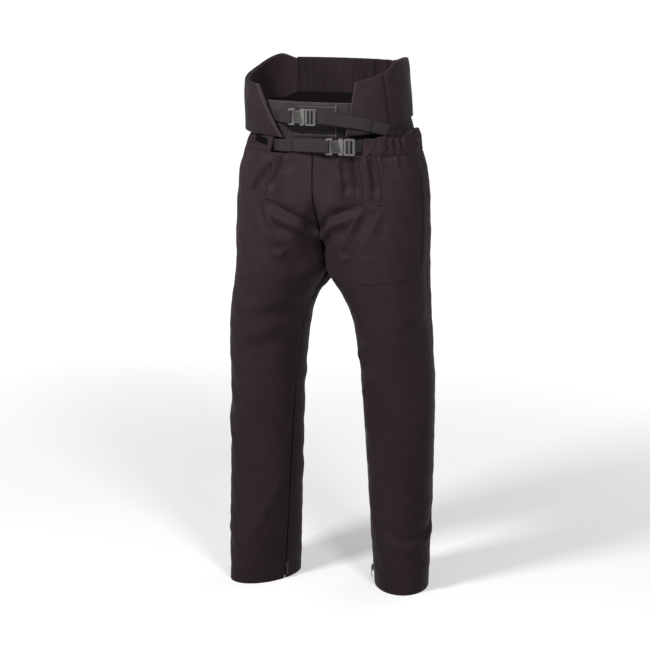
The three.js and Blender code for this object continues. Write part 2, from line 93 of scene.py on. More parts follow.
# ---- node materials ----
class Look:
    """A node material: helper calls add nodes and link them, and settle the shader's own sockets."""

    def __init__(self, name, **sockets):
        self.material = bpy.data.materials.new(name)
        self.material.use_nodes = True
        self.tree = self.material.node_tree
        self.shader = self.tree.nodes["Principled BSDF"]
        for key, value in sockets.items():
            self.shader.inputs[key.replace("_", " ")].default_value = value

    def node(self, kind, settings=(), **inputs):
        n = self.tree.nodes.new(kind)
        for key, value in dict(settings).items():
            setattr(n, key, value)
        for key, value in inputs.items():
            self.feed(n.inputs[int(key[1:])] if key[1:].isdigit() else n.inputs[key.replace("_", " ")], value)
        return n

    def feed(self, socket, value):
        if isinstance(value, bpy.types.NodeSocket):
            self.tree.links.new(value, socket)
        else:
            socket.default_value = value

    def math(self, operation, a, b=0.0, c=0.0):
        return self.node("ShaderNodeMath", {"operation": operation}, i0=a, i1=b, i2=c).outputs[0]

    def fade(self, value, low, high):
        """0 below low, 1 above high, or the other way round when low is above high."""
        n = self.node("ShaderNodeMapRange", {"interpolation_type": "SMOOTHSTEP"}, i0=value)
        n.inputs[1].default_value, n.inputs[2].default_value = min(low, high), max(low, high)
        n.inputs[3].default_value, n.inputs[4].default_value = (0, 1) if low < high else (1, 0)
        return n.outputs[0]

    def attribute(self, name):
        return self.node("ShaderNodeAttribute", {"attribute_name": name}).outputs["Fac"]

    def place(self, uv=True):
        coords = self.node("ShaderNodeTexCoord")
        return coords.outputs["UV" if uv else "Object"]

    def noise(self, where, scale, detail=2.0, rough=0.5):
        return self.node("ShaderNodeTexNoise", {}, Vector=where, Scale=scale, Detail=detail,
                         Roughness=rough).outputs["Fac"]

    def scaled(self, where, x, y, z=1.0, turn=0.0):
        n = self.node("ShaderNodeMapping", {}, Vector=where, Scale=(x, y, z), Rotation=(0, 0, turn))
        return n.outputs[0]

    def mix(self, share, a, b):
        n = self.node("ShaderNodeMix", {"data_type": "RGBA"})
        self.feed(n.inputs["Factor"], share)
        self.feed(n.inputs[6], a)
        self.feed(n.inputs[7], b)
        return n.outputs[2]

    def bump(self, height, distance, strength=1.0, under=None):
        n = self.node("ShaderNodeBump", {}, Height=height, Distance=distance, Strength=strength)
        if under is not None:
            self.feed(n.inputs["Normal"], under)
        return n.outputs[0]

    def finish(self, colour=None, rough=None, normal=None):
        for socket, value in (("Base Color", colour), ("Roughness", rough), ("Normal", normal)):
            if value is not None:
                self.feed(self.shader.inputs[socket], value)
        return self.material


def rgb(r, g, b):
    return (r, g, b, 1.0)


def stripes(look, where, period, turn=0.0):
    """A smooth 0..1 wave across the cloth, one crest every period metres, turned by an angle."""
    turned = look.scaled(where, 1, 1, 1, turn)
    x = look.node("ShaderNodeSeparateXYZ", {}, Vector=turned).outputs[0]
    wave = look.math("SINE", look.math("MULTIPLY", x, 2 * math.pi / period))
    return look.math("MULTIPLY_ADD", wave, 0.5, 0.5)


def twill_look(name, light, dark):
    """Diagonal-ribbed cloth with painted shade along its seams; seam_at is the distance to the nearest seam
    in mm, seam_on the strength of the painted shade and the groove there.
    """
    look = Look(name, Roughness=0.62, Sheen_Weight=0.03, Sheen_Roughness=0.4, Specular_IOR_Level=0.035)
    look.shader.inputs["Sheen Tint"].default_value = rgb(0.75, 0.68, 0.66)
    cloth = look.place()
    wide = look.noise(look.scaled(cloth, 1, 0.6), 9, 3)
    specks = look.noise(cloth, 900, 1)
    slub = look.noise(look.scaled(cloth, 260, 26), 1, 2)
    tone = look.math("ADD", look.math("MULTIPLY", wide, 0.55), look.math("MULTIPLY", specks, 0.35))
    tone = look.math("ADD", tone, look.math("MULTIPLY", slub, 0.2))
    colour = look.mix(look.fade(tone, 0.3, 0.85), dark, light)
    away = look.math("ABSOLUTE", look.attribute("seam_at"))
    # painted shade: a dark line along each seam, standing in for the shade of its groove
    seam = look.math("MULTIPLY", look.fade(away, 1.2, 0.3), look.attribute("seam_on"))
    colour = look.mix(look.math("MULTIPLY", seam, 0.85), colour, rgb(0.004, 0.0035, 0.0035))
    ribs = stripes(look, cloth, 0.0011, math.radians(58))
    height = look.math("ADD", look.math("MULTIPLY", ribs, 0.7), look.math("MULTIPLY", specks, 0.5))
    fine = look.bump(height, 0.00022, 0.55)
    sunk = look.math("MULTIPLY", look.fade(away, 2.6, 0.2), look.attribute("seam_on"))
    groove = look.bump(sunk, -0.0009, 1.0, fine)
    rough = look.math("MULTIPLY_ADD", wide, 0.16, 0.52)
    return look.finish(colour, rough, groove)


def plain_cloth_look(name, light, dark, period=0.0007, sheen=0.02, rough=0.6, shine=0.035):
    """Plain weave: crossed fine ribs with a mottled tone."""
    look = Look(name, Sheen_Weight=sheen, Sheen_Roughness=0.5, Specular_IOR_Level=shine)
    cloth = look.place()
    wide = look.noise(cloth, 14, 3)
    specks = look.noise(cloth, 700, 1)
    tone = look.math("ADD", look.math("MULTIPLY", wide, 0.7), look.math("MULTIPLY", specks, 0.3))
    colour = look.mix(look.fade(tone, 0.25, 0.8), dark, light)
    weave = look.math("MULTIPLY", stripes(look, cloth, period), stripes(look, cloth, period, math.pi / 2))
    height = look.math("ADD", weave, look.math("MULTIPLY", specks, 0.35))
    rough = look.math("MULTIPLY_ADD", wide, 0.14, rough - 0.07)
    return look.finish(colour, rough, look.bump(height, 0.0002, 0.5))


def belt_look(name, light, dark, pale):
    """Smooth cover cloth; one attribute is 1 on the cut edge, which is painted paler, partly its own raw
    colour and partly a painted highlight, and seam_at is the distance to the sewn line, along which painted
    shade runs.
    """
    look = Look(name, Sheen_Weight=0.03, Sheen_Roughness=0.4, Specular_IOR_Level=0.035)
    cloth = look.place()
    wide = look.noise(cloth, 11, 3)
    specks = look.noise(cloth, 800, 1)
    tone = look.math("ADD", look.math("MULTIPLY", wide, 0.65), look.math("MULTIPLY", specks, 0.35))
    colour = look.mix(look.fade(tone, 0.25, 0.8), dark, light)
    # the cut edge painted paler: partly its own raw colour, partly a painted highlight on the edge facet
    colour = look.mix(look.attribute("bare_and_highlit"), colour, pale)
    away = look.math("ABSOLUTE", look.attribute("seam_at"))
    # painted shade: a dark line along the sewn line
    seam = look.math("MULTIPLY", look.fade(away, 1.0, 0.25), look.attribute("seam_on"))
    colour = look.mix(look.math("MULTIPLY", seam, 0.8), colour, rgb(0.004, 0.0035, 0.0035))
    weave = look.math("MULTIPLY", stripes(look, cloth, 0.0008), stripes(look, cloth, 0.0008, math.pi / 2))
    fine = look.bump(look.math("ADD", weave, look.math("MULTIPLY", specks, 0.5)), 0.00018, 0.5)
    return look.finish(colour, look.math("MULTIPLY_ADD", wide, 0.14, 0.5), fine)


def webbing_look(name, light, dark):
    """Woven tape with chevron ribs and dark tacks. u runs across it and v along it, in metres."""
    look = Look(name, Sheen_Weight=0.02, Sheen_Roughness=0.4, Specular_IOR_Level=0.05)
    tape = look.place()
    parts = look.node("ShaderNodeSeparateXYZ", {}, Vector=tape)
    across = look.math("PINGPONG", parts.outputs[0], 0.0032)
    slant = look.math("ADD", look.math("MULTIPLY", across, 0.8), parts.outputs[1])
    rib = look.math("SINE", look.math("MULTIPLY", slant, 2 * math.pi / 0.0016))
    cord = look.math("SINE", look.math("MULTIPLY", parts.outputs[0], 2 * math.pi / 0.0021))
    specks = look.noise(tape, 900, 1)
    weave = look.math("ADD", look.math("MULTIPLY", rib, 0.3), look.math("MULTIPLY", cord, 0.25))
    tone = look.math("ADD", look.math("ADD", weave, 0.5), look.math("MULTIPLY", specks, 0.4))
    colour = look.mix(look.fade(tone, 0.2, 1.1), dark, light)
    tack = look.attribute("tack")
    colour = look.mix(look.math("MULTIPLY", tack, 0.9), colour, rgb(0.003, 0.003, 0.003))
    height = look.math("SUBTRACT", tone, tack)
    return look.finish(colour, look.math("MULTIPLY_ADD", specks, 0.2, 0.42), look.bump(height, 0.00035, 0.8))


def elastic_look(name, light, dark):
    """Ribbed elastic: rows run along it, and fine rubber threads cross them."""
    look = Look(name, Sheen_Weight=0.01, Sheen_Roughness=0.5, Specular_IOR_Level=0.03)
    tape = look.place()
    rows = stripes(look, tape, 0.0016, math.pi / 2)
    threads = stripes(look, tape, 0.0009)
    specks = look.noise(tape, 700, 1)
    tone = look.math("ADD", look.math("MULTIPLY", rows, 0.5), look.math("MULTIPLY", specks, 0.5))
    colour = look.mix(look.fade(tone, 0.2, 0.9), dark, light)
    height = look.math("ADD", rows, look.math("MULTIPLY", threads, 0.35))
    return look.finish(colour, look.math("MULTIPLY_ADD", specks, 0.18, 0.5), look.bump(height, 0.0004, 0.8))


def foam_look(name, light, dark):
    """Closed-cell foam under a knitted face: fine pores and a soft mottle."""
    look = Look(name, Sheen_Weight=0.04, Sheen_Roughness=0.6, Specular_IOR_Level=0.2)
    where = look.place(uv=False)
    cells = look.node("ShaderNodeTexVoronoi", {}, Vector=where, Scale=700.0).outputs["Distance"]
    wide = look.noise(where, 22, 3)
    tone = look.math("ADD", look.math("MULTIPLY", cells, 0.6), look.math("MULTIPLY", wide, 0.5))
    colour = look.mix(look.fade(tone, 0.2, 0.9), dark, light)
    return look.finish(colour, look.math("MULTIPLY_ADD", wide, 0.12, 0.72), look.bump(cells, 0.0005, 0.7))


def plastic_look(name, light, dark):
    """Moulded acetal: satin, faintly pebbled, rubbed paler along its edges."""
    look = Look(name, Specular_IOR_Level=0.2, Coat_Weight=0.03, Coat_Roughness=0.35)
    where = look.place(uv=False)
    pebble = look.noise(where, 1500, 2)
    wide = look.noise(where, 60, 3)
    worn = look.fade(look.node("ShaderNodeNewGeometry").outputs["Pointiness"], 0.52, 0.6)
    colour = look.mix(look.fade(wide, 0.3, 0.75), dark, light)
    colour = look.mix(look.math("MULTIPLY", worn, 0.5), colour, rgb(0.16, 0.155, 0.148))
    return look.finish(colour, look.math("MULTIPLY_ADD", wide, 0.16, 0.32), look.bump(pebble, 0.00008, 0.5))


def metal_look(name, light, dark):
    """Painted die-cast metal with chipped high spots."""
    look = Look(name, Metallic=0.6, Specular_IOR_Level=0.5)
    where = look.place(uv=False)
    wide = look.noise(where, 300, 3)
    colour = look.mix(look.fade(wide, 0.35, 0.7), dark, light)
    return look.finish(colour, look.math("MULTIPLY_ADD", wide, 0.3, 0.25), look.bump(wide, 0.00005, 0.4))


def floor_look():
    """Seamless white that glows as painted light, more away from the object than near it, as a lit studio
    sweep looks.
    """
    look = Look("floor", Specular_IOR_Level=0.1)
    where = look.place(uv=False)
    away = look.node("ShaderNodeVectorMath", {"operation": "LENGTH"}, i0=where).outputs["Value"]
    smooth = {"interpolation_type": "SMOOTHSTEP"}
    # painted light: the floor glows, dimmer near the object and brighter away from it
    glow = look.node("ShaderNodeMapRange", smooth, i0=away, i1=0.4, i2=3.5, i3=0.34, i4=0.95)
    look.shader.inputs["Emission Color"].default_value = rgb(1, 1, 1)
    look.feed(look.shader.inputs["Emission Strength"], glow.outputs[0])
    tone = look.mix(look.noise(where, 3, 2), rgb(0.44, 0.44, 0.44), rgb(0.46, 0.46, 0.46))
    return look.finish(tone, look.math("MULTIPLY_ADD", look.noise(where, 40, 2), 0.1, 0.75))


TWILL = twill_look("twill", rgb(0.0215, 0.0138, 0.0166), rgb(0.0130, 0.0084, 0.0101))
TWILL_INSIDE = plain_cloth_look("twill_inside", rgb(0.014, 0.0095, 0.0112), rgb(0.009, 0.0062, 0.0073))
COVER = belt_look(
    "belt_cover", rgb(0.0190, 0.0124, 0.0148), rgb(0.0125, 0.0082, 0.0098), rgb(0.030, 0.022, 0.0235)
)
COVER_INSIDE = belt_look(
    "belt_lining", rgb(0.0180, 0.0115, 0.0145), rgb(0.0120, 0.0078, 0.0098), rgb(0.02, 0.015, 0.017)
)
GATHERED = belt_look(
    "gathered_cover", rgb(0.0155, 0.0102, 0.0122), rgb(0.0098, 0.0065, 0.0078), rgb(0.02, 0.015, 0.017)
)
NYLON = plain_cloth_look(
    "black_nylon", rgb(0.0290, 0.0235, 0.0250), rgb(0.0180, 0.0145, 0.0155), 0.0009, 0.02, 0.42, 0.06
)
POCKETING = plain_cloth_look("pocketing", rgb(0.012, 0.011, 0.011), rgb(0.007, 0.006, 0.006))
ELASTIC = elastic_look("elastic", rgb(0.0042, 0.0030, 0.0038), rgb(0.0018, 0.0013, 0.0016))
FOAM = foam_look("foam", rgb(0.050, 0.050, 0.052), rgb(0.028, 0.028, 0.030))
WEBBING = webbing_look("webbing", rgb(0.0260, 0.0225, 0.0222), rgb(0.0078, 0.0068, 0.0067))
PLASTIC = plastic_look("buckle_plastic", rgb(0.036, 0.034, 0.032), rgb(0.022, 0.021, 0.0195))
THREAD = plain_cloth_look("thread", rgb(0.24, 0.23, 0.23), rgb(0.15, 0.145, 0.145), 0.0004)
DARK_THREAD = plain_cloth_look("dark_thread", rgb(0.009, 0.008, 0.008), rgb(0.005, 0.004, 0.004), 0.0004)
ZIP = plain_cloth_look(
    "zip_coil", rgb(0.009, 0.0075, 0.008), rgb(0.005, 0.004, 0.0045), 0.0004, 0.0, 0.5, 0.05
)
ZIP_METAL = metal_look("zip_metal", rgb(0.040, 0.038, 0.036), rgb(0.014, 0.013, 0.013))
LABEL = plain_cloth_look(
    "label", rgb(0.0035, 0.0032, 0.0034), rgb(0.002, 0.002, 0.002), 0.0005, 0.0, 0.7, 0.01
)

floor_mesh = bpy.data.meshes.new("floor")
FLOOR_HALF = 60
floor_mesh.from_pydata(
    [(x * FLOOR_HALF, y * FLOOR_HALF, 0) for x, y in ((-1, -1), (1, -1), (1, 1), (-1, 1))], [], [(0, 1, 2, 3)]
)
floor_mesh.materials.append(floor_look())
floor = bpy.data.objects.new("floor", floor_mesh)
bpy.context.collection.objects.link(floor)

world = bpy.data.worlds.new("studio")
world.use_nodes = True
world.node_tree.nodes["Background"].inputs["Color"].default_value = rgb(1, 1, 1)
world.node_tree.nodes["Background"].inputs["Strength"].default_value = 0.13
bpy.context.scene.world = world
bpy.context.scene.view_settings.view_transform = "Standard"


# ---- meshes ----
def make_object(name, points, faces, uv, attributes, *materials):
    """An object from points in millimetres. uv and attributes hold one value per point."""
    mesh = bpy.data.meshes.new(name)
    points = np.asarray(points, float) * MM
    mesh.from_pydata(points.tolist(), [], faces)
    mesh.update()
    layer = mesh.uv_layers.new(name="UVMap")
    index = np.empty(len(mesh.loops), int)
    mesh.loops.foreach_get("vertex_index", index)
    layer.data.foreach_set("uv", np.asarray(uv, np.float32)[index].ravel())
    for key, values in attributes.items():
        layer = mesh.attributes.new(key, "FLOAT", "POINT")
        layer.data.foreach_set("value", np.asarray(values, np.float32))
    mesh.polygons.foreach_set("use_smooth", np.ones(len(mesh.polygons), bool))
    obj = bpy.data.objects.new(name, mesh)
    bpy.context.collection.objects.link(obj)
    for material in materials:
        mesh.materials.append(material)
    return obj


def grid_normals(p):
    """Unit normals of a grid of points, rows first."""
    across = np.empty_like(p)
    across[:, 1:-1] = p[:, 2:] - p[:, :-2]
    across[:, 0], across[:, -1] = p[:, 1] - p[:, 0], p[:, -1] - p[:, -2]
    down = np.empty_like(p)
    down[1:-1] = p[2:] - p[:-2]
    down[0], down[-1] = p[1] - p[0], p[-1] - p[-2]
    n = np.cross(across, down)
    return n / np.maximum(np.linalg.norm(n, axis=2, keepdims=True), 1e-9)


def outward(p, heart):
    """Grid normals turned to face away from the hearts (one point per grid point, or a single one)."""
    n = grid_normals(p)
    return n * np.where((n * (p - heart)).sum(axis=2, keepdims=True) < 0, -1.0, 1.0)


def grid_faces(rows, cols, start, flip):
    index = np.arange(rows * cols).reshape(rows, cols) + start
    a, b, c, d = index[:-1, :-1], index[:-1, 1:], index[1:, 1:], index[1:, :-1]
    quads = np.stack([a, d, c, b] if flip else [a, b, c, d], axis=-1).reshape(-1, 4)
    return quads.tolist()


def shell(name, outer, inner, uv, material, attributes=None, inside=None, bead=0.0):
    """Closed cloth between two grids of points; a middle row pushed out by bead rounds its rim."""
    rows, cols = outer.shape[:2]
    count = rows * cols
    points = np.concatenate([outer.reshape(-1, 3), inner.reshape(-1, 3)])
    loop = rim_loop(rows, cols)
    flat_out, flat_in = outer.reshape(-1, 3)[loop], inner.reshape(-1, 3)[loop]
    middle = (flat_out + flat_in) / 2 + rim_push(outer, loop) * bead
    points = np.concatenate([points, middle])
    side = 1 if volume_sign(outer, inner) > 0 else -1
    faces = grid_faces(rows, cols, 0, side < 0) + grid_faces(rows, cols, count, side > 0)
    first_inside = (rows - 1) * (cols - 1)
    for k in range(len(loop)):
        n = (k + 1) % len(loop)
        o1, o2 = int(loop[k]), int(loop[n])
        m1, m2 = 2 * count + k, 2 * count + n
        quads = [(o2, o1, m1, m2), (m2, m1, o1 + count, o2 + count)]
        faces += quads if side > 0 else [q[::-1] for q in quads]
    uv = np.asarray(uv, float).reshape(-1, 2)
    uv = np.concatenate([uv, uv, uv[loop]])
    spread = {}
    for key, values in (attributes or {}).items():
        flat = np.asarray(values, float).reshape(-1)
        spread[key] = np.concatenate([flat, flat, flat[loop]])
    materials = [material] + ([inside] if inside is not None else [])
    obj = make_object(name, points, faces, uv, spread, *materials)
    if inside is not None:
        which = np.zeros(len(obj.data.polygons), np.int32)
        which[first_inside:2 * first_inside] = 1
        obj.data.polygons.foreach_set("material_index", which)
    return obj


def rim_loop(rows, cols):
    index = np.arange(rows * cols).reshape(rows, cols)
    return np.concatenate([index[0, :-1], index[:-1, -1], index[-1, :0:-1], index[:0:-1, 0]])


def rim_push(grid, loop):
    """Unit steps outwards from the rim of a grid, within the surface."""
    rows, cols = grid.shape[:2]
    flat = grid.reshape(-1, 3)
    row, col = loop // cols, loop % cols
    inner = np.clip(row, 1, rows - 2) * cols + np.clip(col, 1, cols - 2)
    push = flat[loop] - flat[inner]
    return push / np.maximum(np.linalg.norm(push, axis=1, keepdims=True), 1e-9)


def volume_sign(outer, inner):
    """Whether the outer grid's row-by-column normals point away from the inner grid."""
    n = grid_normals(outer)
    return ((outer - inner) * n).sum()


def lengths_along(line):
    """The distance of each point of a line from its first, along it."""
    return np.concatenate([[0], np.cumsum(np.linalg.norm(np.diff(line, axis=0), axis=1))])


def grid_uv(p):
    """Distances along the grid's middle row and column, in metres, as a flat cloth would have them."""
    u, v = lengths_along(p[len(p) // 2]), lengths_along(p[:, p.shape[1] // 2])
    return np.stack(np.broadcast_arrays(u[None, :], -v[:, None]), axis=-1) * MM


def one_face_area(p):
    """Area of a grid of points, in square millimetres."""
    a, b = p[1:, 1:] - p[:-1, :-1], p[1:, :-1] - p[:-1, 1:]
    return np.linalg.norm(np.cross(a, b), axis=2).sum() / 2


def smoothstep(value, low, high):
    s = np.clip((value - low) / (high - low), 0, 1)
    return s * s * (3 - 2 * s)


def soften(p, times, across):
    """Evens a grid of points out along its columns, or across them, with the ends kept."""
    p = (p.swapaxes(0, 1) if across else p).copy()
    for _ in range(times):
        p[1:-1] = 0.25 * p[:-2] + 0.5 * p[1:-1] + 0.25 * p[2:]
    return p.swapaxes(0, 1) if across else p


def put(obj, *nodes, body="trousers", slot=None):
    """The piece rides on its body and stands for its CAD nodes."""
    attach(obj, body)
    if nodes:
        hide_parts(*nodes)


def cloth(obj, area_mm2, wide_mm, held, rests_on=()):
    """Takes a sheet's area, flat width, hold and what it rests on, and does nothing with them."""


# ---- the garment's pattern ----
WAIST_Z = 957
FORK_Y, FORK_Z = -25, 700
LEG_TOP_Z = 668
ZIP_TOP_Z = 430
FRONT, BACK = -1, 1
CROTCH_TOP = {FRONT: 870, BACK: 790}
FRONT_FALL = 0.9
SEAT_SAG = 120
SQUARENESS = 2.3  # the power of the ovals: 2 is an ellipse
SEAM = 0.5
ZIP_GAP = 1.7  # half the gap that shows the zip
STRIDE = (22, -55)
# height, centre outwards, centre back, half width, half depth, toe-out
LEG = np.array([
    (0, 163, 3, 60, 94, 22), (420, 155, 0, 80, 85, 18),
    (600, 140, -5, 85, 110, 8), (700, 112, 0, 104, 122, 0),
], float)
CENTRE_X, CENTRE_Y, HALF_WIDE, HALF_DEEP, TOE_OUT = 1, 2, 3, 4, 5
# height, half width, half depth in front, half depth behind
TRUNK = np.array([
    (668, 219, 121, 124), (700, 217, 122, 126), (760, 218, 124, 130),
    (820, 217, 123, 130), (880, 213, 120, 124), (957, 205, 116, 116),
], float)


def along(rows, column, at):
    """One column of a table of stations at the given values of its first, smoothly between them."""
    x, y = rows[:, 0], rows[:, column]
    at = np.clip(np.asarray(at, float), x[0], x[-1])
    slope = np.empty_like(y)
    slope[1:-1] = (y[2:] - y[:-2]) / (x[2:] - x[:-2])
    slope[0], slope[-1] = (y[1] - y[0]) / (x[1] - x[0]), (y[-1] - y[-2]) / (x[-1] - x[-2])
    k = np.clip(np.searchsorted(x, at, side="right") - 1, 0, len(x) - 2)
    step = x[k + 1] - x[k]
    s = (at - x[k]) / step
    return ((2 * s**3 - 3 * s**2 + 1) * y[k] + (s**3 - 2 * s**2 + s) * step * slope[k]
            + (3 * s**2 - 2 * s**3) * y[k + 1] + (s**3 - s**2) * step * slope[k + 1])


def turned(x, y, z, way=1):
    """A point of a leg's section turned about the leg's centre by its toe-out."""
    a = np.radians(along(LEG, TOE_OUT, z)) * way
    cx, cy = along(LEG, CENTRE_X, z), along(LEG, CENTRE_Y, z)
    dx, dy = x - cx, y - cy
    return cx + dx * np.cos(a) - dy * np.sin(a), cy + dx * np.sin(a) + dy * np.cos(a)


def inseam(z):
    """The leg's inner edge, straight below the top of the zip."""
    z = np.asarray(z, float)

    def free(h):
        return turned(along(LEG, CENTRE_X, h) - along(LEG, HALF_WIDE, h), along(LEG, CENTRE_Y, h), h)

    x, y = free(z)
    (x0, y0), (x1, y1) = free(0.0), free(float(ZIP_TOP_Z))
    s = z / ZIP_TOP_Z
    return np.where(z < ZIP_TOP_Z, x0 + (x1 - x0) * s, x), np.where(z < ZIP_TOP_Z, y0 + (y1 - y0) * s, y)


def stride(side, z):
    """How far the right leg has swung forward at a height."""
    share = np.clip((FORK_Z - np.asarray(z, float)) / FORK_Z, 0, None) * (side == SIDES["right"])
    return STRIDE[0] * share, STRIDE[1] * share


def trunk_depth(face, h):
    return along(TRUNK, 2 if face == FRONT else 3, h)


def inner_edge(face, h):
    """The panel's edge at the fly, the seat seam and then the inseam."""
    top = CROTCH_TOP[face]
    depth = face * trunk_depth(face, h)
    depth_top = face * float(trunk_depth(face, top))
    fall = np.clip((h - FORK_Z) / (top - FORK_Z), 0, 1)
    if face == FRONT:
        y = FORK_Y + (depth_top - FORK_Y) * fall**FRONT_FALL
        z = h
    else:
        a = (1 - fall) * math.pi / 2
        y = FORK_Y + (depth_top - FORK_Y) * np.cos(a)
        z = top - (top - FORK_Z) * np.sin(a) - SEAT_SAG * np.sin(a) ** 3 * np.cos(a)
        z = np.where(h < top, z, h)
    y = np.where(h >= top, depth, y)
    leg = h < FORK_Z
    join = np.clip((FORK_Z - h) / (FORK_Z - LEG_TOP_Z), 0, 1)
    end_x, end_y = inseam(float(LEG_TOP_Z))
    ix, iy = inseam(h)
    low = h < LEG_TOP_Z
    x = np.where(leg, np.where(low, ix, join * end_x), 0.0)
    y = np.where(leg, np.where(low, iy, FORK_Y + join * (end_y - FORK_Y)), y)
    return x, y, np.where(leg, h, z)


def panel_point(side, face, t, h):
    """A point of the trouser surface: t from the inner edge to the outseam, h the height at the outseam."""
    t, h = np.broadcast_arrays(np.asarray(t, float), np.asarray(h, float))
    top = CROTCH_TOP[face]
    fall = np.clip((top - h) / (top - FORK_Z), 0, 1)
    split = 0.5 * fall
    leg = h < FORK_Z
    edge_x, edge_y, edge_z = inner_edge(face, h)
    local_x, local_y = turned(edge_x, edge_y, h, -1)
    gap = np.where(h < ZIP_TOP_Z + 8, ZIP_GAP, SEAM)
    ex = np.where(leg, local_x, edge_x + SEAM)
    ey = np.where(leg, local_y, edge_y) + face * gap * np.clip((top - h) / 60, 0, 1)
    centre_x = np.where(leg, along(LEG, CENTRE_X, h), fall * float(along(LEG, CENTRE_X, FORK_Z)))
    centre_y = np.where(leg, along(LEG, CENTRE_Y, h), 0.0)
    out_x = np.where(leg, along(LEG, CENTRE_X, h) + along(LEG, HALF_WIDE, h), along(TRUNK, 1, h))
    deep = np.where(leg, along(LEG, HALF_DEEP, h), trunk_depth(face, h))
    power = np.where(leg, 1.0, 2 / SQUARENESS + (1 - 2 / SQUARENESS) * fall)
    far_y, out_y = centre_y + face * deep, centre_y + face * SEAM
    s = np.clip(t / np.maximum(split, 1e-9), 0, 1)
    a = s * math.pi / 2
    rounding = np.where(leg | (face == BACK), 1.0, fall**2)
    wave = s * s * (3 - 2 * s)
    near_x = centre_x + (ex - centre_x) * ((1 - s) + (np.cos(a) - 1 + s) * rounding)
    near_y = ey + (far_y - ey) * (wave + (np.sin(a) - wave) * rounding)
    b = np.clip((t - split) / (1 - split), 0, 1) * math.pi / 2
    start = np.where(split > 0, centre_x, ex)
    wide_x = start + (out_x - start) * np.maximum(np.sin(b), 0) ** power
    wide_y = out_y + (far_y - out_y) * np.maximum(np.cos(b), 0) ** power
    x, y = np.where(t < split, near_x, wide_x), np.where(t < split, near_y, wide_y)
    droop = np.clip(1 - np.abs(h - 694) / 62, 0, 1) * (face == BACK)
    q = t / 0.12
    z = edge_z + (h - edge_z) * np.minimum(1, t * 1.6) - 26 * droop * q * np.exp(1 - q) * (1 - t)
    leg_x, leg_y = turned(x, y, h)
    x, y = np.where(leg, leg_x, x), np.where(leg, leg_y, y)
    forward_x, forward_y = stride(side, h)
    return np.stack([side * x + forward_x, y + forward_y, z], axis=-1)


CINCH = 13  # how far the elastic draws the sides of the waist in


def cinched(p):
    """A grid of points with the sides of the waist drawn in, more and more from the hips up."""
    p = p.copy()
    share = smoothstep(p[..., 2], 905, 985) * smoothstep(np.abs(p[..., 0]), 90, 195)
    p[..., 0] -= np.sign(p[..., 0]) * CINCH * share
    return p


def body_heart(side, p):
    """For each point, a point in the middle of the leg or body at its height."""
    z = p[..., 2]
    forward_x, forward_y = stride(side, z)
    x = np.where(z < FORK_Z, side * along(LEG, CENTRE_X, z), side * 60.0) + forward_x
    return np.stack([x, forward_y + 0 * z, z], axis=-1)


def oval_point(oval, angle, z):
    """A point of an upright oval (centre x, centre y, half width, half depth), at degrees from the front."""
    a = np.radians(angle)

    def bend(s):
        return np.sign(s) * np.abs(s) ** (2 / SQUARENESS)

    x = oval[0] + oval[2] * bend(np.sin(a))
    y = oval[1] - oval[3] * bend(np.cos(a))
    return np.stack(np.broadcast_arrays(x, y, z), axis=-1).astype(float)


def waist_oval(z):
    s = (z - WAIST_Z) / 33
    return 5 * s, 0 * s, 205 - 7 * s, 116 - 2 * s


# ---- folds: lines on the garment that the cloth rises or falls along ----
# Every line is given on a panel: t from the inner edge (0) to the outseam (1), and the height.
# "fold" is even on both sides. "lap" stands up on the wearer's right of a downward line and falls off sharply
# past it, as the lip of a pleat does; "rlap" is its mirror.
TACK_Z = 855  # the pleats are sewn shut from the waist seam down to here
# side, where the pleat leaves the waist seam, where it is tacked, how far it opens below the tack
PLEATS = [
    ("right", 0.25, 0.33, 1.0),
    ("left", 0.23, 0.27, 0.0),
    ("left", 0.28, 0.32, 1.0),
    ("left", 0.43, 0.46, 0.4),
]
LIP_LONG = 100
FOLDS = []
SEAM_LINES = []


def on_panel(hand, face, stations):
    """The points of the trouser surface at a list of (t, height)."""
    side = SIDES[hand]
    return [tuple(panel_point(side, face, t, h)) for t, h in stations]


def crease(hand, amount, width, *stations, kind="fold", face=FRONT):
    FOLDS.append((kind, amount, width, *on_panel(hand, face, stations)))


# each sewn line is drawn on the cloth as a dark line of painted shade over a shallow groove
def sewn(hand, *stations, face=FRONT):
    SEAM_LINES.append(on_panel(hand, face, stations))


for hand, top_t, tack_t, opening in PLEATS:
    sewn(hand, (top_t, WAIST_Z), ((top_t + tack_t) / 2, 905), (tack_t, TACK_Z + 5))
    sewn(hand, (tack_t - 0.03, TACK_Z), (tack_t + 0.01, TACK_Z))
    # the cloth sinks beside the stitching, on the side of the fly, and stands up past that
    crease(hand, -6.5, 7, (top_t - 0.06, WAIST_Z), (top_t - 0.04, 925), (tack_t - 0.06, 885))
    crease(hand, 4.2, 6, (top_t - 0.09, WAIST_Z), (top_t - 0.08, 915), (tack_t - 0.10, 870))
    if opening:
        lip = "lap" if hand == "right" else "rlap"
        end_t, end_z = tack_t - 0.04, TACK_Z - LIP_LONG
        crease(hand, 7.5 * opening, 14, (tack_t, TACK_Z - 5), (tack_t - 0.01, 825), (end_t, end_z), kind=lip)
        crease(hand, -5.0 * opening, 12, (tack_t + 0.06, TACK_Z - 10), (tack_t + 0.04, 790))
        crease(hand, 4.5 * opening, 7, (end_t + 0.10, end_z - 10), (end_t + 0.05, end_z - 15), (end_t, end_z))

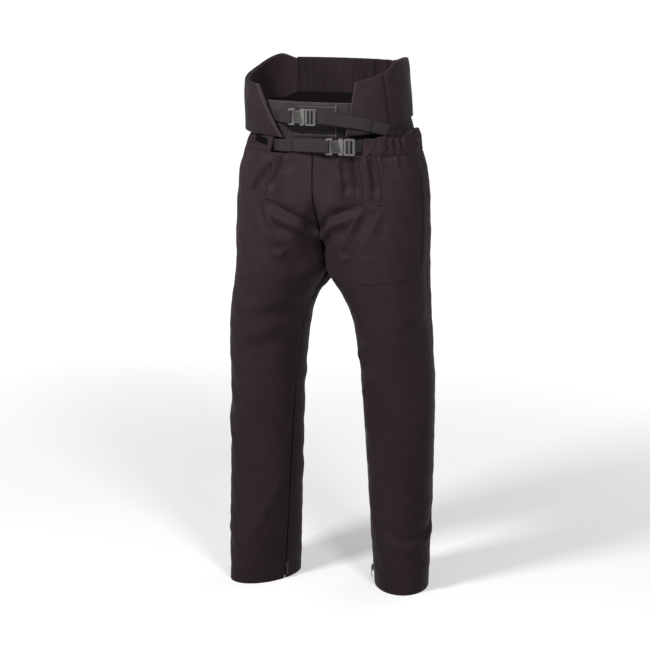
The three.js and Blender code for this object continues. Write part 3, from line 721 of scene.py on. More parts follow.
# the cloth hangs from the tacks to the fork: a valley, a ridge and a valley, one under the other
for hand, tack_t in (("right", 0.33), ("left", 0.31)):
    for amount, width, drop in ((-9.0, 10, 5), (7.0, 13, 25), (-5.0, 12, 50)):
        top = TACK_Z - drop
        line = [(tack_t - 0.02, top), (tack_t - 0.12, top - 15), (0.12, top - 32), (0.04, top - 58)]
        crease(hand, amount, width, *line)
    crease(hand, 5.0, 17, (0.16, 920), (0.13, 885), (0.14, 845))
    crease(hand, -3.0, 14, (tack_t, 765), (tack_t - 0.05, 700))
# the hip beside the right pleat is pulled down and outwards
for amount, start_z in ((5.0, 945), (-4.6, 928)):
    crease("right", amount, 10, (0.28, start_z), (0.38, start_z - 34), (0.46, start_z - 64))
# below the fork the thighs are crossed by soft lines that spread from it
for step, amount in enumerate((2.4, -2.4, 2.4, -2.0)):
    crease("right", amount, 18, (0.08, 655 - 32 * step), (0.30, 640 - 32 * step), (0.55, 615 - 32 * step))
for step, amount in enumerate((2.6, -2.0, 2.2)):
    crease("left", amount, 13, (0.68, 600 - 18 * step), (0.80, 635 - 14 * step), (0.93, 665 - 10 * step))
# breaks at the inside of the left knee, and the long slack lines of the shins
for step, amount in enumerate((3.0, -2.6, 3.0)):
    crease("left", amount, 9, (0.10, 515 - 40 * step), (0.20, 540 - 40 * step), (0.32, 560 - 40 * step))
crease("right", 2.8, 12, (0.05, 250), (0.22, 170), (0.42, 85))
crease("right", 2.6, 12, (0.85, 390), (0.72, 345), (0.60, 300))
crease("right", 2.4, 11, (0.72, 120), (0.60, 100), (0.48, 85))
# the left leg breaks over the shoe in one curved line, with a hollow above it
for amount, up in ((3.6, 0), (-2.6, 20)):
    line = [(0.18, 135), (0.38, 112), (0.58, 103), (0.80, 120), (0.95, 140)]
    crease("left", amount, 11, *((t, z + up) for t, z in line))
# the seat and the hollows of the knees
for hand in ("right", "left"):
    crease(hand, 3.0, 22, (0.15, 715), (0.40, 712), (0.70, 690), face=BACK)
    crease(hand, -2.6, 20, (0.15, 665), (0.40, 672), (0.70, 655), face=BACK)
    for step, amount in enumerate((2.6, -2.4)):
        line = [(0.15, 462), (0.50, 450), (0.85, 468)]
        crease(hand, amount, 13, *((t, z - 24 * step) for t, z in line), face=BACK)
    crease(hand, 2.2, 14, (0.15, 250), (0.50, 235), (0.85, 260), face=BACK)
# the waist tunnel is gathered in short upright puckers beside the ends of the belt
for hand, first, count in (("left", 50, 7), ("right", 47, 5)):
    for step in range(count):
        at = SIDES[hand] * (first + 3.6 * step)
        amount = (-3.6, 2.5)[step % 2]
        FOLDS.append(("fold", amount, 4, *(tuple(oval_point(waist_oval(z), at, z)) for z in (993, 969))))
# the pads' pocket seam across the thighs, and the slash pockets
sewn("left", (0.38, 694), (0.52, 688), (0.72, 693), (0.88, 700), (0.98, 703))
sewn("right", (0.62, 677), (0.78, 680))
for hand in ("right", "left"):
    sewn(hand, (0.86, 935), (0.88, 875), (0.87, 785), (0.90, 712))


FOLD_GAIN = 1.15


def to_polyline(points, line):
    """For each point: its distance and offset from the line, and the line's direction and share there."""
    line = np.asarray(line, float)
    lengths = np.linalg.norm(np.diff(line, axis=0), axis=1)
    total = lengths.sum()
    best = np.full(len(points), np.inf)
    direction = np.zeros((len(points), 3))
    offset = np.zeros((len(points), 3))
    share = np.zeros(len(points))
    done = 0.0
    for k, length in enumerate(lengths):
        step = (line[k + 1] - line[k]) / length
        low = -np.inf if k == 0 else 0.0
        high = np.inf if k == len(lengths) - 1 else length
        reach = (points - line[k]) @ step
        away = points - line[k] - np.clip(reach, 0, length)[:, None] * step
        distance = np.linalg.norm(away, axis=1)
        nearer = distance < best
        best[nearer] = distance[nearer]
        direction[nearer] = step
        offset[nearer] = away[nearer]
        share[nearer] = (done + np.clip(reach, low, high)[nearer]) / total
        done += length
    return best, direction, offset, share


def fold_height(p, n):
    """How far each point of a grid rises, in mm, from the garment's folds."""
    points, normals = p.reshape(-1, 3), n.reshape(-1, 3)
    height = np.zeros(len(points))
    for kind, amount, width, *line in FOLDS:
        near = np.asarray(line, float)
        reach = width * 3.2
        box = ((points > near.min(axis=0) - reach) & (points < near.max(axis=0) + reach)).all(axis=1)
        if not box.any():
            continue
        distance, direction, offset, share = to_polyline(points[box], near)
        ends = smoothstep(share, -0.12, 0.18) * (1 - smoothstep(share, 0.85, 1.15))
        if kind == "fold":
            rise = np.exp(-((distance / width) ** 2))
        else:
            side = (np.cross(direction, normals[box]) * offset).sum(axis=1) * (1 if kind == "lap" else -1)
            rise = np.exp(-np.maximum(side, 0) / width) * smoothstep(side, -1.4, 1.2)
            ends = smoothstep(share, -0.03, 0.2) * (1 - smoothstep(share, 0.7, 1.06))
            ends = ends * (distance < reach)
        height[box] += FOLD_GAIN * amount * rise * ends
    return height.reshape(p.shape[:2])


def seam_marks(p, n, lines):
    """Signed distance in mm to the nearest sewn line, and how strongly the painted shade and groove along it
    count there.
    """
    points, normals = p.reshape(-1, 3), n.reshape(-1, 3)
    nearest = np.full(len(points), 99.0)
    signed = np.full(len(points), 99.0)
    on = np.zeros(len(points))
    for line in lines:
        distance, direction, offset, share = to_polyline(points, line)
        near = distance < nearest
        side = np.sign((np.cross(direction, normals) * offset).sum(axis=1))
        nearest[near] = distance[near]
        signed[near] = (distance * np.where(side == 0, 1, side))[near]
        on[near] = (smoothstep(share, -0.02, 0.02) * (1 - smoothstep(share, 0.98, 1.02)))[near]
    return signed.reshape(p.shape[:2]), on.reshape(p.shape[:2])


RANDOM = np.random.default_rng(7)
# slow waves that run through the whole garment: direction over wavelength, phase, height
RIPPLES = [
    (RANDOM.normal(size=3) * (1.0, 1.0, 0.45) * 2 * math.pi / wave, RANDOM.uniform(0, 2 * math.pi), tall)
    for wave, tall in [(150, 0.9), (120, 0.9), (95, 0.7), (80, 0.6), (62, 0.45), (50, 0.35), (40, 0.25)]
]


def ripple(p):
    return sum(tall * np.sin(p @ way + phase) for way, phase, tall in RIPPLES)


# ---- trousers ----
FRONT_RISE = 8  # how much higher the fronts reach between the ends of the waistband


def panel(hand, face):
    """One of the four twill panels, with its folds, its seams drawn in with painted shade and a turned hem.
    """
    side = SIDES[hand]
    columns, rows = (150, 380) if face == FRONT else (100, 280)
    s = np.linspace(0, 1, columns + 1)
    t = s - 0.6 * np.sin(2 * math.pi * s) / (2 * math.pi)
    h = np.linspace(WAIST_Z, 0, rows + 1)
    base = panel_point(side, face, t[None, :], h[:, None])
    base = soften(base, 45, across=False)
    base = soften(base, 5, across=True)
    if face == FRONT:
        middle = smoothstep(np.abs(np.degrees(np.arctan2(base[0, :, 0], -base[0, :, 1]))), 27.0, 24.5)
        base[..., 2] += FRONT_RISE * middle[None, :] * smoothstep(base[..., 2], WAIST_Z - 40, WAIST_Z)
    normal = outward(base, body_heart(side, base))
    seam_gap = np.minimum(
        np.linalg.norm(base - base[:, :1], axis=2), np.linalg.norm(base - base[:, -1:], axis=2)
    )
    free = smoothstep(WAIST_Z - base[..., 2], 0, 14)
    rise = fold_height(base, normal) * free
    rise += ripple(base) * smoothstep(base[..., 2], 0, 60) * free
    rise += gathers(base) * np.exp(-(WAIST_Z - base[..., 2]) / 22) * (face * base[..., 1] > 0)
    rise -= 0.8 * np.exp(-((seam_gap / 1.7) ** 2))
    rise -= 0.5 * np.exp(-(((base[..., 2] - 24) / 1.8) ** 2))
    outer = base + normal * rise[..., None]
    outer = cinched(outer)
    skin = outward(outer, body_heart(side, outer))
    skin[0, :, 2] = skin[-1, :, 2] = 0
    inner = outer - skin * 1.5
    signed, on = seam_marks(base, normal, SEAM_LINES)
    # painted shade: a dark line along the panel's edges, where the seams are
    edge_signed = np.where(seam_gap < 3, seam_gap + 0.35, 99)
    nearer = np.abs(edge_signed) < np.abs(signed)
    signed = np.where(nearer, edge_signed, signed)
    on = np.where(nearer, 1.0, on)
    name = f"{'front' if face == FRONT else 'back'}_panel_{hand}"
    marks = {"seam_at": signed, "seam_on": on}
    obj = shell(name, outer, inner, grid_uv(base), TWILL, marks, TWILL_INSIDE, 0.3)
    put(obj, name, slot="twill")
    cloth(obj, one_face_area(outer), 300, "hung", ["waistband_back", "waistband_front_" + hand])


GATHER_TABLE = RANDOM.uniform(0, 2 * math.pi, 9)


def gathers(p):
    """Small upright puckers, irregular round the waist, in mm."""
    around = np.arctan2(p[..., 0], -p[..., 1]) * 180
    waves = [(11, 0.8), (17, 1.0), (27, 0.9), (44, 0.8)]
    phases = zip(waves, GATHER_TABLE)
    total = sum(tall * np.sin(2 * math.pi * around / wave + phase) for (wave, tall), phase in phases)
    mask = smoothstep(np.abs(around), 95, 140)
    return total * (0.25 + 0.75 * mask)


for hand in SIDES:
    panel(hand, FRONT)
    panel(hand, BACK)


PAD_EDGE = 9  # how far in from its rim a pad is rounded
QUILT = 0.25  # how much thinner it is along a channel


def slab(side, face, t_span, z_span, depths, size):
    """The two faces and the uv of a slab that follows a panel, at two depths below its surface."""
    cols, rows = size
    t = np.linspace(*t_span, cols + 1)
    z = np.linspace(*z_span, rows + 1)
    base = panel_point(side, face, t[None, :], z[:, None])
    n = outward(base, body_heart(side, base))
    base = cinched(base)
    return base - n * depths[0], base - n * depths[1], grid_uv(base)


def pad(name, outer, inner, uv):
    """A foam pad from its two faces: its rim is rounded and shallow channels are sewn into it."""
    rows, cols = outer.shape[:2]
    u = lengths_along(outer[rows // 2])
    v = lengths_along(outer[:, cols // 2])
    from_edge = np.minimum(np.minimum(u, u[-1] - u)[None, :], np.minimum(v, v[-1] - v)[:, None])
    q = np.clip(from_edge / PAD_EDGE, 0, 1)
    full = 0.22 + 0.78 * np.sqrt(1 - (1 - q) ** 2)
    channels = max(2, round(v[-1] / 42))
    groove = np.abs(np.sin(math.pi * channels * v / v[-1]))[:, None] ** 0.35
    full = (full * (1 - QUILT * (1 - groove)))[..., None]
    middle = (outer + inner) / 2
    outer, inner = middle + (outer - middle) * full, middle + (inner - middle) * full
    obj = shell(name, outer, inner, uv, FOAM, bead=1.0)
    put(obj, name, slot="foam")


for hand, side in SIDES.items():
    outer, inner, uv = slab(side, FRONT, (0.6, 0.97), (935, 715), (4.2, 5.4), (24, 30))
    bag = shell(f"pocket_bag_{hand}", outer, inner, uv, POCKETING, bead=0.2)
    put(bag, f"pocket_bag_{hand}", slot="black_lining")
    cloth(bag, one_face_area(outer), 130, "hung", ["waistband_front_" + hand])
    pad(f"hip_pad_{hand}", *slab(side, BACK, (0.5, 0.97), (925, 730), (7.2, 19), (40, 60)))
    pad(f"thigh_pad_{hand}", *slab(side, FRONT, (0.36, 0.86), (650, 430), (6.4, 18), (44, 64)))


def pocket_welt(hand):
    """The folded strip along the pocket mouth, sewn at both ends, open along its front edge."""
    side = SIDES[hand]
    t = np.linspace(0.9, 0.985, 13)
    z = np.linspace(935, 715, 111)
    base = panel_point(side, FRONT, t[None, :], z[:, None])
    n = outward(base, body_heart(side, base))
    near_edge, belly = np.exp(-(((t - 0.9) / 0.012) ** 2)), np.sin(math.pi * (935 - z) / 220)
    lift = 0.1 + 0.25 * near_edge[None, :] * belly[:, None]
    rise = fold_height(base, n) + ripple(base) + 0.5
    base = cinched(base)
    outer = base + n * (rise + lift + 0.5)[..., None]
    inner = base + n * (rise - 0.3)[..., None]
    # painted shade: a dark line 2.2 mm in from the welt's edge
    edge = np.linalg.norm(base - base[:, :1], axis=2) - 2.2
    obj = shell(f"pocket_welt_{hand}", outer, inner, grid_uv(base), TWILL,
                {"seam_at": edge, "seam_on": np.full_like(edge, 0.4)}, bead=0.1)
    put(obj, f"pocket_welt_{hand}", slot="twill")
    cloth(obj, one_face_area(outer), 30, "folded", [f"front_panel_{hand}"])


for hand in SIDES:
    pocket_welt(hand)


def tailbone_pad():
    t = np.linspace(-1, 1, 61)
    z = np.linspace(930, 800, 41)
    halves = [panel_point(s, BACK, np.abs(t)[None, :] * 0.36, z[:, None]) for s in (-1, 1)]
    base = np.where((t < 0)[None, :, None], halves[0], halves[1])
    base[:, 30, 0] = 0
    base = soften(base, 3, across=True)
    n = outward(base, np.array([0, 0, 865.0]))
    pad("tailbone_pad", base - n * 6.4, base - n * 18, grid_uv(base))


tailbone_pad()

# ---- waistband: a gathered tunnel ----
# angle from the front, top edge
WAIST_TOP = {
    "right": np.array([(27, 990), (70, 993), (100, 1000), (180, 1002)], float),
    "left": np.array([(27, 990), (48, 998), (60, 991), (85, 1009), (110, 1003), (180, 1002)], float),
}
PUCKER_WAVES = [
    (RANDOM.uniform(15, 52), RANDOM.uniform(0, 2 * math.pi), RANDOM.uniform(0.5, 1.0)) for _ in range(9)
]


def waist_top(angle):
    left = (angle > 0) & (angle <= 180)
    turn = np.where(angle > 180, 360 - angle, np.abs(angle))
    return np.where(left, along(WAIST_TOP["left"], 1, turn), along(WAIST_TOP["right"], 1, turn))


def puckers(around, z):
    """Irregular upright folds of a gathered tunnel; around is in mm, leaning a little with height."""
    total = 0.0
    for wave, phase, share in PUCKER_WAVES:
        lean = 0.75 * np.sin(phase * 3) * (z - 975)
        total = total + share * np.sin(2 * math.pi * (around + lean) / wave + phase)
    return np.tanh(total / 1.6) * 1.5


def waistband(name, first, last, strength):
    """One stretch of the tunnel, puckered between its seam below and its edge above."""
    around_count = max(60, int(abs(last - first) * 2.6 / 1.6))
    angle = np.linspace(first, last, around_count + 1)
    s = np.linspace(1, 0, 27)
    top = waist_top(angle)
    z = WAIST_Z + 0.4 + (top[None, :] - WAIST_Z - 0.4) * s[:, None]
    oval = waist_oval(z)
    base = oval_point(oval, angle[None, :], z)
    n = outward(base, np.array([0, 0, 975.0]))
    around = lengths_along(base[13]) + first * 3
    belly = np.sin(math.pi * np.clip(s, 0.02, 1)) ** 0.6
    puck = puckers(around[None, :], z)
    rise = (belly * 2.2)[:, None] + strength * puck * (0.12 * (1 - s[:, None]) + 0.88 * belly[:, None] ** 0.7)
    tip = np.minimum(np.arange(around_count + 1), np.arange(around_count + 1)[::-1]) / 4
    rise = (rise + fold_height(base, n)) * smoothstep(tip, 0, 1)[None, :]
    outer = cinched(base + n * rise[..., None])
    outer[..., 2] += (0.8 * puck * smoothstep(s, 0.75, 1.0)[:, None])
    outer[-1, :, 2] = WAIST_Z + 0.4
    inner = outer - n * np.where(s > 0.9, 2.6, 3.6)[:, None, None]
    seam = np.minimum(np.abs(z - WAIST_Z - 3.5), np.abs(top[None, :] - z - 5))
    # painted shade along the tunnel's two sewn lines
    marks = {"seam_at": seam, "seam_on": np.full_like(seam, 0.55)}
    obj = shell(name, outer, inner, grid_uv(base), TWILL, marks, bead=0.6)
    put(obj, name, slot="twill")
    cloth(obj, one_face_area(outer), 45, "gathered", ["front_panel_right", "front_panel_left"])


waistband("waistband_front_right", -27, -71.8, 0.7)
waistband("waistband_front_left", 28.5, 71.8, 0.8)
waistband("waistband_back", 72.2, 287.8, 1.6)

# ---- kidney belt ----
BELT_LOW, BELT_TOP = 1010, 1150


def belt_oval(z):
    """The kidney belt leans to the wearer's right and narrows upwards."""
    lean = 7 * (z - BELT_LOW) / (BELT_TOP - BELT_LOW)
    return -12 - lean, 6 + 0 * lean, 186 - lean, 119 + 0 * lean


# angle from the front, top edge, bottom edge
WINGS = {
    "left": np.array([
        (20, 1100, 995), (60, 1130, 1010), (75, 1150, 1020), (100, 1155, 1030), (145, 1140, 1025),
    ], float),
    "right": np.array([
        (20, 1095, 990), (70, 1105, 995), (100, 1125, 1000), (130, 1150, 1020), (145, 1140, 1025),
    ], float),
}
WING_FRONT_LOW = {"right": 17, "left": 22}
WING_FRONT_TOP = {"right": 40, "left": 32}
WING_BACK = {"right": 147, "left": 142}
# angle of the sewn line at the top and the bottom, and how dark the painted shade along it is
WING_SEAM = {"right": (131, 131, 0.0), "left": (57, 61, 1.0)}
THICK = 11.0


def wing(hand):
    """A foam wing in its cover, with a sewn line drawn in painted shade, and its sloping front edge painted
    paler, partly as raw foam and partly as a painted highlight.
    """
    side = SIDES[hand]
    rows_table = WINGS[hand]
    cols, rows = 150, 66
    u = np.linspace(0, 1, cols + 1)
    u = u - 0.55 * np.sin(2 * math.pi * u) / (2 * math.pi)
    v = np.linspace(0, 1, rows + 1)
    v = v - 0.5 * np.sin(2 * math.pi * v) / (2 * math.pi)
    start = WING_FRONT_TOP[hand] + (WING_FRONT_LOW[hand] - WING_FRONT_TOP[hand]) * v[:, None]
    angle = start + (WING_BACK[hand] - start) * u[None, :]
    top, low = along(rows_table, 1, angle), along(rows_table, 2, angle)
    z = top + (low - top) * v[:, None]
    base = oval_point(belt_oval(z), side * angle, z)
    n = outward(base, np.array([-16, 6, 1080.0]))
    along_u = lengths_along(base[rows // 2])
    u_mm = np.minimum(along_u[None, :] - 0 * z, (along_u[-1] - along_u)[None, :] + 0 * z)
    v_mm = np.minimum(top - z, z - low)
    edge = np.minimum(u_mm, v_mm)
    radius = np.where(along_u[None, :] < 8, 2.2, 4.2)
    q = np.clip(edge / radius, 0, 1)
    square = smoothstep(along_u[None, :], 8, 2)
    full = (0.3 + 0.4 * square) + (0.7 - 0.4 * square) * np.sqrt(1 - (1 - q) ** 2)
    plump = 0.7 * smoothstep(edge, 4, 30)
    wobble = 0.5 * np.sin(angle * 0.31 + z * 0.045) + 0.4 * np.sin(angle * 0.17 - z * 0.07 + 1.3)
    seam_top, seam_low, painted_seam_shade = WING_SEAM[hand]
    seam_mm = (angle - seam_top - (seam_low - seam_top) * v[:, None]) * 2.75
    groove = 2.6 * np.exp(-((seam_mm / 3.4) ** 2))
    crown = plump + wobble * smoothstep(edge, 2, 18) - groove * smoothstep(v_mm, -1, 4)
    half = THICK / 2
    outer = base - n * (half - full * half - crown)[..., None]
    inner = base - n * (half + full * half - 1.3 + 0.2)[..., None]
    # the cut front edge painted paler: partly raw foam, partly a painted highlight on its facet
    bare_and_highlit = smoothstep(along_u[None, :], 3.0, 1.2) + 0 * z
    marks = {"bare_and_highlit": bare_and_highlit, "seam_at": seam_mm, "seam_on": painted_seam_shade + 0 * z}
    obj = shell(f"kidney_cushion_{hand}", outer, inner, grid_uv(base), COVER, marks, bead=1.6)
    put(obj, f"kidney_cover_{hand}", f"kidney_foam_{hand}", slot="belt_cover")
    inset = slice(3, -3)
    face = base[inset, inset] - n[inset, inset] * 10.1
    back = face - n[inset, inset] * 1.0
    plain = 0 * z[inset, inset]
    marks = {"bare_and_highlit": plain, "seam_at": seam_mm[inset, inset], "seam_on": painted_seam_shade + plain}
    lining = shell(f"kidney_lining_{hand}", face, back, grid_uv(face), COVER_INSIDE, marks, bead=0.3)
    put(lining, f"kidney_lining_{hand}", slot="black_lining")
    cloth(lining, one_face_area(face), 330, "stretched", [f"kidney_cushion_{hand}"])


for hand in SIDES:
    wing(hand)


def lumbar_panel():
    """The gathered panel between the wings: upright folds, deepest on the wearer's left."""
    cols, rows = 230, 44
    angle = np.linspace(WING_BACK["left"] - 1.0, 360 - WING_BACK["right"] + 1.0, cols + 1)
    v = np.linspace(0, 1, rows + 1)
    z = 1142 + (1005 - 1142) * v[:, None] + 0 * angle[None, :]
    x, y, wide, deep_oval = belt_oval(z)
    base = oval_point((x, y - 4, wide - 2, deep_oval), angle[None, :], z)
    n = outward(base, np.array([-16, 0, 1080.0]))
    around = lengths_along(base[22])
    lean = (z - 1075) * 0.16
    place = around[None, :] + lean * np.sin(around / 60)[None, :]
    waves = sum(
        share * np.sin(2 * math.pi * place / wave + phase)
        for wave, share, phase in ((13, 1.0, 0.4), (19, 0.9, 2.1), (29, 0.8, 4.0), (47, 0.9, 1.1))
    )
    deep = 0.7 + 1.3 * smoothstep(around, around[-1] * 0.62, around[-1] * 0.1)[None, :]
    ends = smoothstep(np.minimum(around, around[-1] - around), 0, 8)[None, :]
    rise = deep * waves * ends * (0.55 + 0.45 * np.sin(math.pi * v)[:, None])
    outer = base + n * (rise - 3.2)[..., None]
    inner = outer - n * 1.6
    marks = {"bare_and_highlit": 0 * z, "seam_at": 99 + 0 * z, "seam_on": 0 * z}
    obj = shell("lumbar_panel", outer, inner, grid_uv(base), GATHERED, marks, bead=0.8)
    put(obj, "lumbar_panel", slot="twill")
    cloth(obj, one_face_area(outer), 140, "gathered", ["kidney_cushion_right", "kidney_cushion_left"])


lumbar_panel()

# ---- bands inside the waist ----
INNER = (-14, 5, 162, 101)
INNER_HEART = np.array([INNER[0], INNER[1], 1020.0])


def inner_band(name, span, z_span, thick, proud, material, slot, held, wave=0.0, detail=(140, 30), dip=0.0):
    cols, rows = detail
    angle = np.linspace(*span, cols + 1)
    v = np.linspace(0, 1, rows + 1)
    z = z_span[0] + (z_span[1] - z_span[0]) * v[:, None] + 0 * angle[None, :]
    z = z - dip * smoothstep(angle, 214, 234)[None, :]
    base = oval_point(INNER, angle[None, :], z)
    n = outward(base, INNER_HEART)
    drift = wave * (np.sin(angle * 0.21 + 0.7)[None, :] + 0.6 * np.sin(angle[None, :] * 0.37 + z * 0.05))
    outer = base + n * (proud + drift)[..., None]
    inner = outer - n * thick
    obj = shell(name, outer, inner, grid_uv(base), material, bead=0.4)
    put(obj, name, slot=slot)
    cloth(obj, one_face_area(outer), abs(z_span[0] - z_span[1]), held, [])
    return outer


inner_band(
    "back_elastic_band", (99, 261), (1068, 1018), 1.8, -0.1, ELASTIC, "elastic", "stretched", 0.5, dip=12.0
)
inner_band("inner_front_panel", (-78, 78), (1065, 962), 1.4, -0.1, NYLON, "black_lining", "hung", 0.35)
patch_grid = inner_band(
    "front_patch", (-10, 19), (1061, 992), 1.0, 1.6, NYLON, "black_lining", "stretched", 0.1, (50, 40)
)


PITCH, STITCH, THREAD_THICK, THREAD_RISE = 3.4, 2.3, 0.5, 0.4


def beads(runs, around):
    """Vertices and faces of closed tubes, each given as a list of rings of points."""
    vertices, faces = [], []
    for rings in runs:
        first, last = len(vertices), len(vertices) + (len(rings) - 1) * around
        for ring in rings:
            vertices += ring
        for start in range(first, last, around):
            for j in range(around):
                a, b = start + j, start + (j + 1) % around
                faces.append((a, b, b + around, a + around))
        faces.append(tuple(range(first + around - 1, first - 1, -1)))
        faces.append(tuple(range(last, last + around)))
    return vertices, faces


def stitches(name, material, **line):
    """A run of thread stitches along a row or a column of the patch."""
    points, normals = grid_path(patch_grid, **line)
    reach = lengths_along(points)
    runs = []
    ring = [(math.cos(a), math.sin(a)) for a in np.linspace(0, 2 * math.pi, 6, endpoint=False)]
    profile = [(-0.5, 0.15), (-0.36, 0.8), (0, 1), (0.36, 0.8), (0.5, 0.15)]
    for start in np.arange(PITCH / 2, reach[-1] - PITCH / 2, PITCH):
        at = np.array([np.interp(start, reach, points[:, k]) for k in range(3)])
        ahead = np.array([np.interp(start + 0.5, reach, points[:, k]) for k in range(3)]) - at
        ahead /= np.linalg.norm(ahead)
        up = np.array([np.interp(start, reach, normals[:, k]) for k in range(3)])
        up /= np.linalg.norm(up)
        across = np.cross(ahead, up)
        rings = []
        for share, fat in profile:
            middle = at + ahead * share * STITCH + up * THREAD_RISE * fat
            rings.append([middle + THREAD_THICK * fat * (c * across + s * up) for c, s in ring])
        runs.append(rings)
    vertices, faces = beads(runs, 6)
    obj = make_object(name, vertices, faces, np.array(vertices)[:, :2] * MM, {}, material)
    put(obj, slot="black_lining")


def grid_path(grid, row=None, col=None):
    """A row or column of a grid as a path with outward normals."""
    n = outward(grid, INNER_HEART)
    return (grid[row], n[row]) if row is not None else (grid[:, col], n[:, col])


stitches("patch_stitch_top", THREAD, row=3)
stitches("patch_stitch_left", THREAD, col=47)
stitches("patch_stitch_right", DARK_THREAD, col=3)
stitches("patch_stitch_low", THREAD, row=37)


LABEL_TILT = 3.5


def label():
    angle = np.linspace(-46, -31, 19)
    v = np.linspace(0, 1, 13)
    z = 990 - 14 * v[:, None] - LABEL_TILT * np.linspace(-1, 1, 19)[None, :]
    base = oval_point((3, 0, 203, 119), angle[None, :], z)
    n = outward(base, np.array([0, 0, 977.0]))
    curl = 0.5 * np.sin(angle * 0.7)[None, :] + 0.3 * np.sin(z * 0.3)
    outer = cinched(base + n * (2.0 + curl)[..., None])
    obj = shell("label", outer, outer - n * 0.7, grid_uv(base), LABEL, bead=0.3)
    put(obj, "label", slot="label")
    cloth(obj, one_face_area(outer), 18, "stretched", ["waistband_front_right"])


label()


def side_adjuster(hand):
    """The strip of cover cloth between the wing and the waistband."""
    side = SIDES[hand]
    angle = np.linspace(58, 100, 61)
    v = np.linspace(0, 1, 13)
    top = along(WINGS[hand], 2, angle) - 1.0
    z = top[None, :] + 2 - 26 * v[:, None]
    slope = v[:, None] + 0 * angle[None, :]
    base = oval_point((-8 + 7 * slope, 3 - slope, 177 + slope, 110 + slope), side * angle[None, :], z)
    n = outward(base, np.array([0, 0, 1000.0]))
    rise = 0.5 * np.sin(angle * 0.9)[None, :] * np.sin(math.pi * v)[:, None]
    outer = base + n * rise[..., None]
    # painted shade along a sewn line near the strip's lower edge
    marks = {"bare_and_highlit": 0 * z, "seam_at": np.abs(v[:, None] * 26 - 23) + 0 * z, "seam_on": 0.6 + 0 * z}
    obj = shell(f"side_adjuster_{hand}", outer, outer - n * 1.4, grid_uv(base), COVER, marks, bead=0.4)
    put(obj, f"side_adjuster_{hand}", slot="belt_cover")
    cloth(obj, one_face_area(outer), 20, "stretched", [])


for hand in SIDES:
    side_adjuster(hand)

# ---- straps and buckles ----
PLACES = {"upper": ((-22, -120, 1036), -4), "lower": ((63, -118.5, 977), 9)}
STRAP_WIDE = 25
STRAP_THICK = 1.5
STRAP_WAVE = 0.25


def near(name, x, y):
    """A point in a buckle's own axes: x along the strap, y inwards through it."""
    at, turn = PLACES[name]
    a = math.radians(turn)
    return (at[0] + x * math.cos(a) - y * math.sin(a), at[1] + x * math.sin(a) + y * math.cos(a), at[2])


def off_oval(oval, angle, z, out, depth_share):
    p = oval_point(oval, angle, z)
    push = np.array([p[0], p[1] * depth_share, 0])
    return tuple(p + push / np.linalg.norm(push) * out)


def on_belt(angle, z, out):
    return off_oval(belt_oval(z), angle, z, out, 2.4)


def on_waist(angle, z, out):
    return off_oval(waist_oval(z), angle, z, out, 3)


def smooth_path(points, spacing=1.5):
    """Evenly spaced points on a centripetal Catmull-Rom curve."""
    p = np.asarray(points, float)
    p = np.vstack([2 * p[0] - p[1], p, 2 * p[-1] - p[-2]])
    knots = np.concatenate([[0], np.cumsum(np.sqrt(np.linalg.norm(np.diff(p, axis=0), axis=1)))])
    out = []
    for k in range(1, len(p) - 2):
        t = np.linspace(knots[k], knots[k + 1], 24, endpoint=False)[:, None]
        t0, t1, t2, t3 = knots[k - 1:k + 3]
        a1 = (t1 - t) / (t1 - t0) * p[k - 1] + (t - t0) / (t1 - t0) * p[k]
        a2 = (t2 - t) / (t2 - t1) * p[k] + (t - t1) / (t2 - t1) * p[k + 1]
        a3 = (t3 - t) / (t3 - t2) * p[k + 1] + (t - t2) / (t3 - t2) * p[k + 2]
        b1 = (t2 - t) / (t2 - t0) * a1 + (t - t0) / (t2 - t0) * a2
        b2 = (t3 - t) / (t3 - t1) * a2 + (t - t1) / (t3 - t1) * a3
        out.append((t2 - t) / (t2 - t1) * b1 + (t - t1) / (t2 - t1) * b2)
    out = np.vstack(out + [p[-2:-1]])
    reach = lengths_along(out)
    even = np.linspace(0, reach[-1], max(8, int(reach[-1] / spacing)))
    return np.stack([np.interp(even, reach, out[:, k]) for k in range(3)], axis=1), even


def webbing(name, path, body="trousers", tacks=()):
    """A woven strap with rounded selvedges swept along a path; tacks are places along it where it is sewn."""
    points, reach = smooth_path(path)
    tangent = np.gradient(points, axis=0)
    tangent /= np.linalg.norm(tangent, axis=1, keepdims=True)
    up = np.array([0, 0, 1.0]) - tangent * tangent[:, 2:3]
    up /= np.linalg.norm(up, axis=1, keepdims=True)
    out = np.cross(tangent, up)
    half, thick = STRAP_WIDE / 2, STRAP_THICK / 2
    across = np.concatenate([np.linspace(-1, 1, 17), np.linspace(1, -1, 17)])
    face = np.concatenate([np.ones(17), -np.ones(17)])
    rounding = np.sqrt(np.clip(1 - (np.abs(across) - 0.93).clip(0) ** 2 / 0.07**2, 0.06, 1))
    ripples = STRAP_WAVE * np.sin(reach * 0.23)[:, None] * (1 - across**2)[None, :]
    grid = (points[:, None] + up[:, None] * (across * half)[None, :, None]
            + out[:, None] * (face * rounding * thick)[None, :, None] + out[:, None] * ripples[..., None])
    rows, cols = grid.shape[:2]
    index = np.arange(rows * cols).reshape(rows, cols)
    nxt = np.roll(index, -1, axis=1)
    faces = np.stack([index[:-1], nxt[:-1], nxt[1:], index[1:]], axis=-1).reshape(-1, 4).tolist()
    faces += [index[0, ::-1].tolist(), index[-1].tolist()]
    uv = np.stack(np.broadcast_arrays((across * half + half)[None, :] * MM, reach[:, None] * MM), axis=-1)
    tack = np.zeros((rows, cols))
    for place in tacks:
        tack = np.maximum(tack, np.exp(-(((reach - place) / 1.3) ** 2))[:, None] + 0 * tack)
    marks = {"tack": tack.reshape(-1)}
    obj = make_object(name, grid.reshape(-1, 3), faces, uv.reshape(-1, 2), marks, WEBBING)
    fix_normals(obj)
    if body:
        put(obj, name, body=body)
    return obj


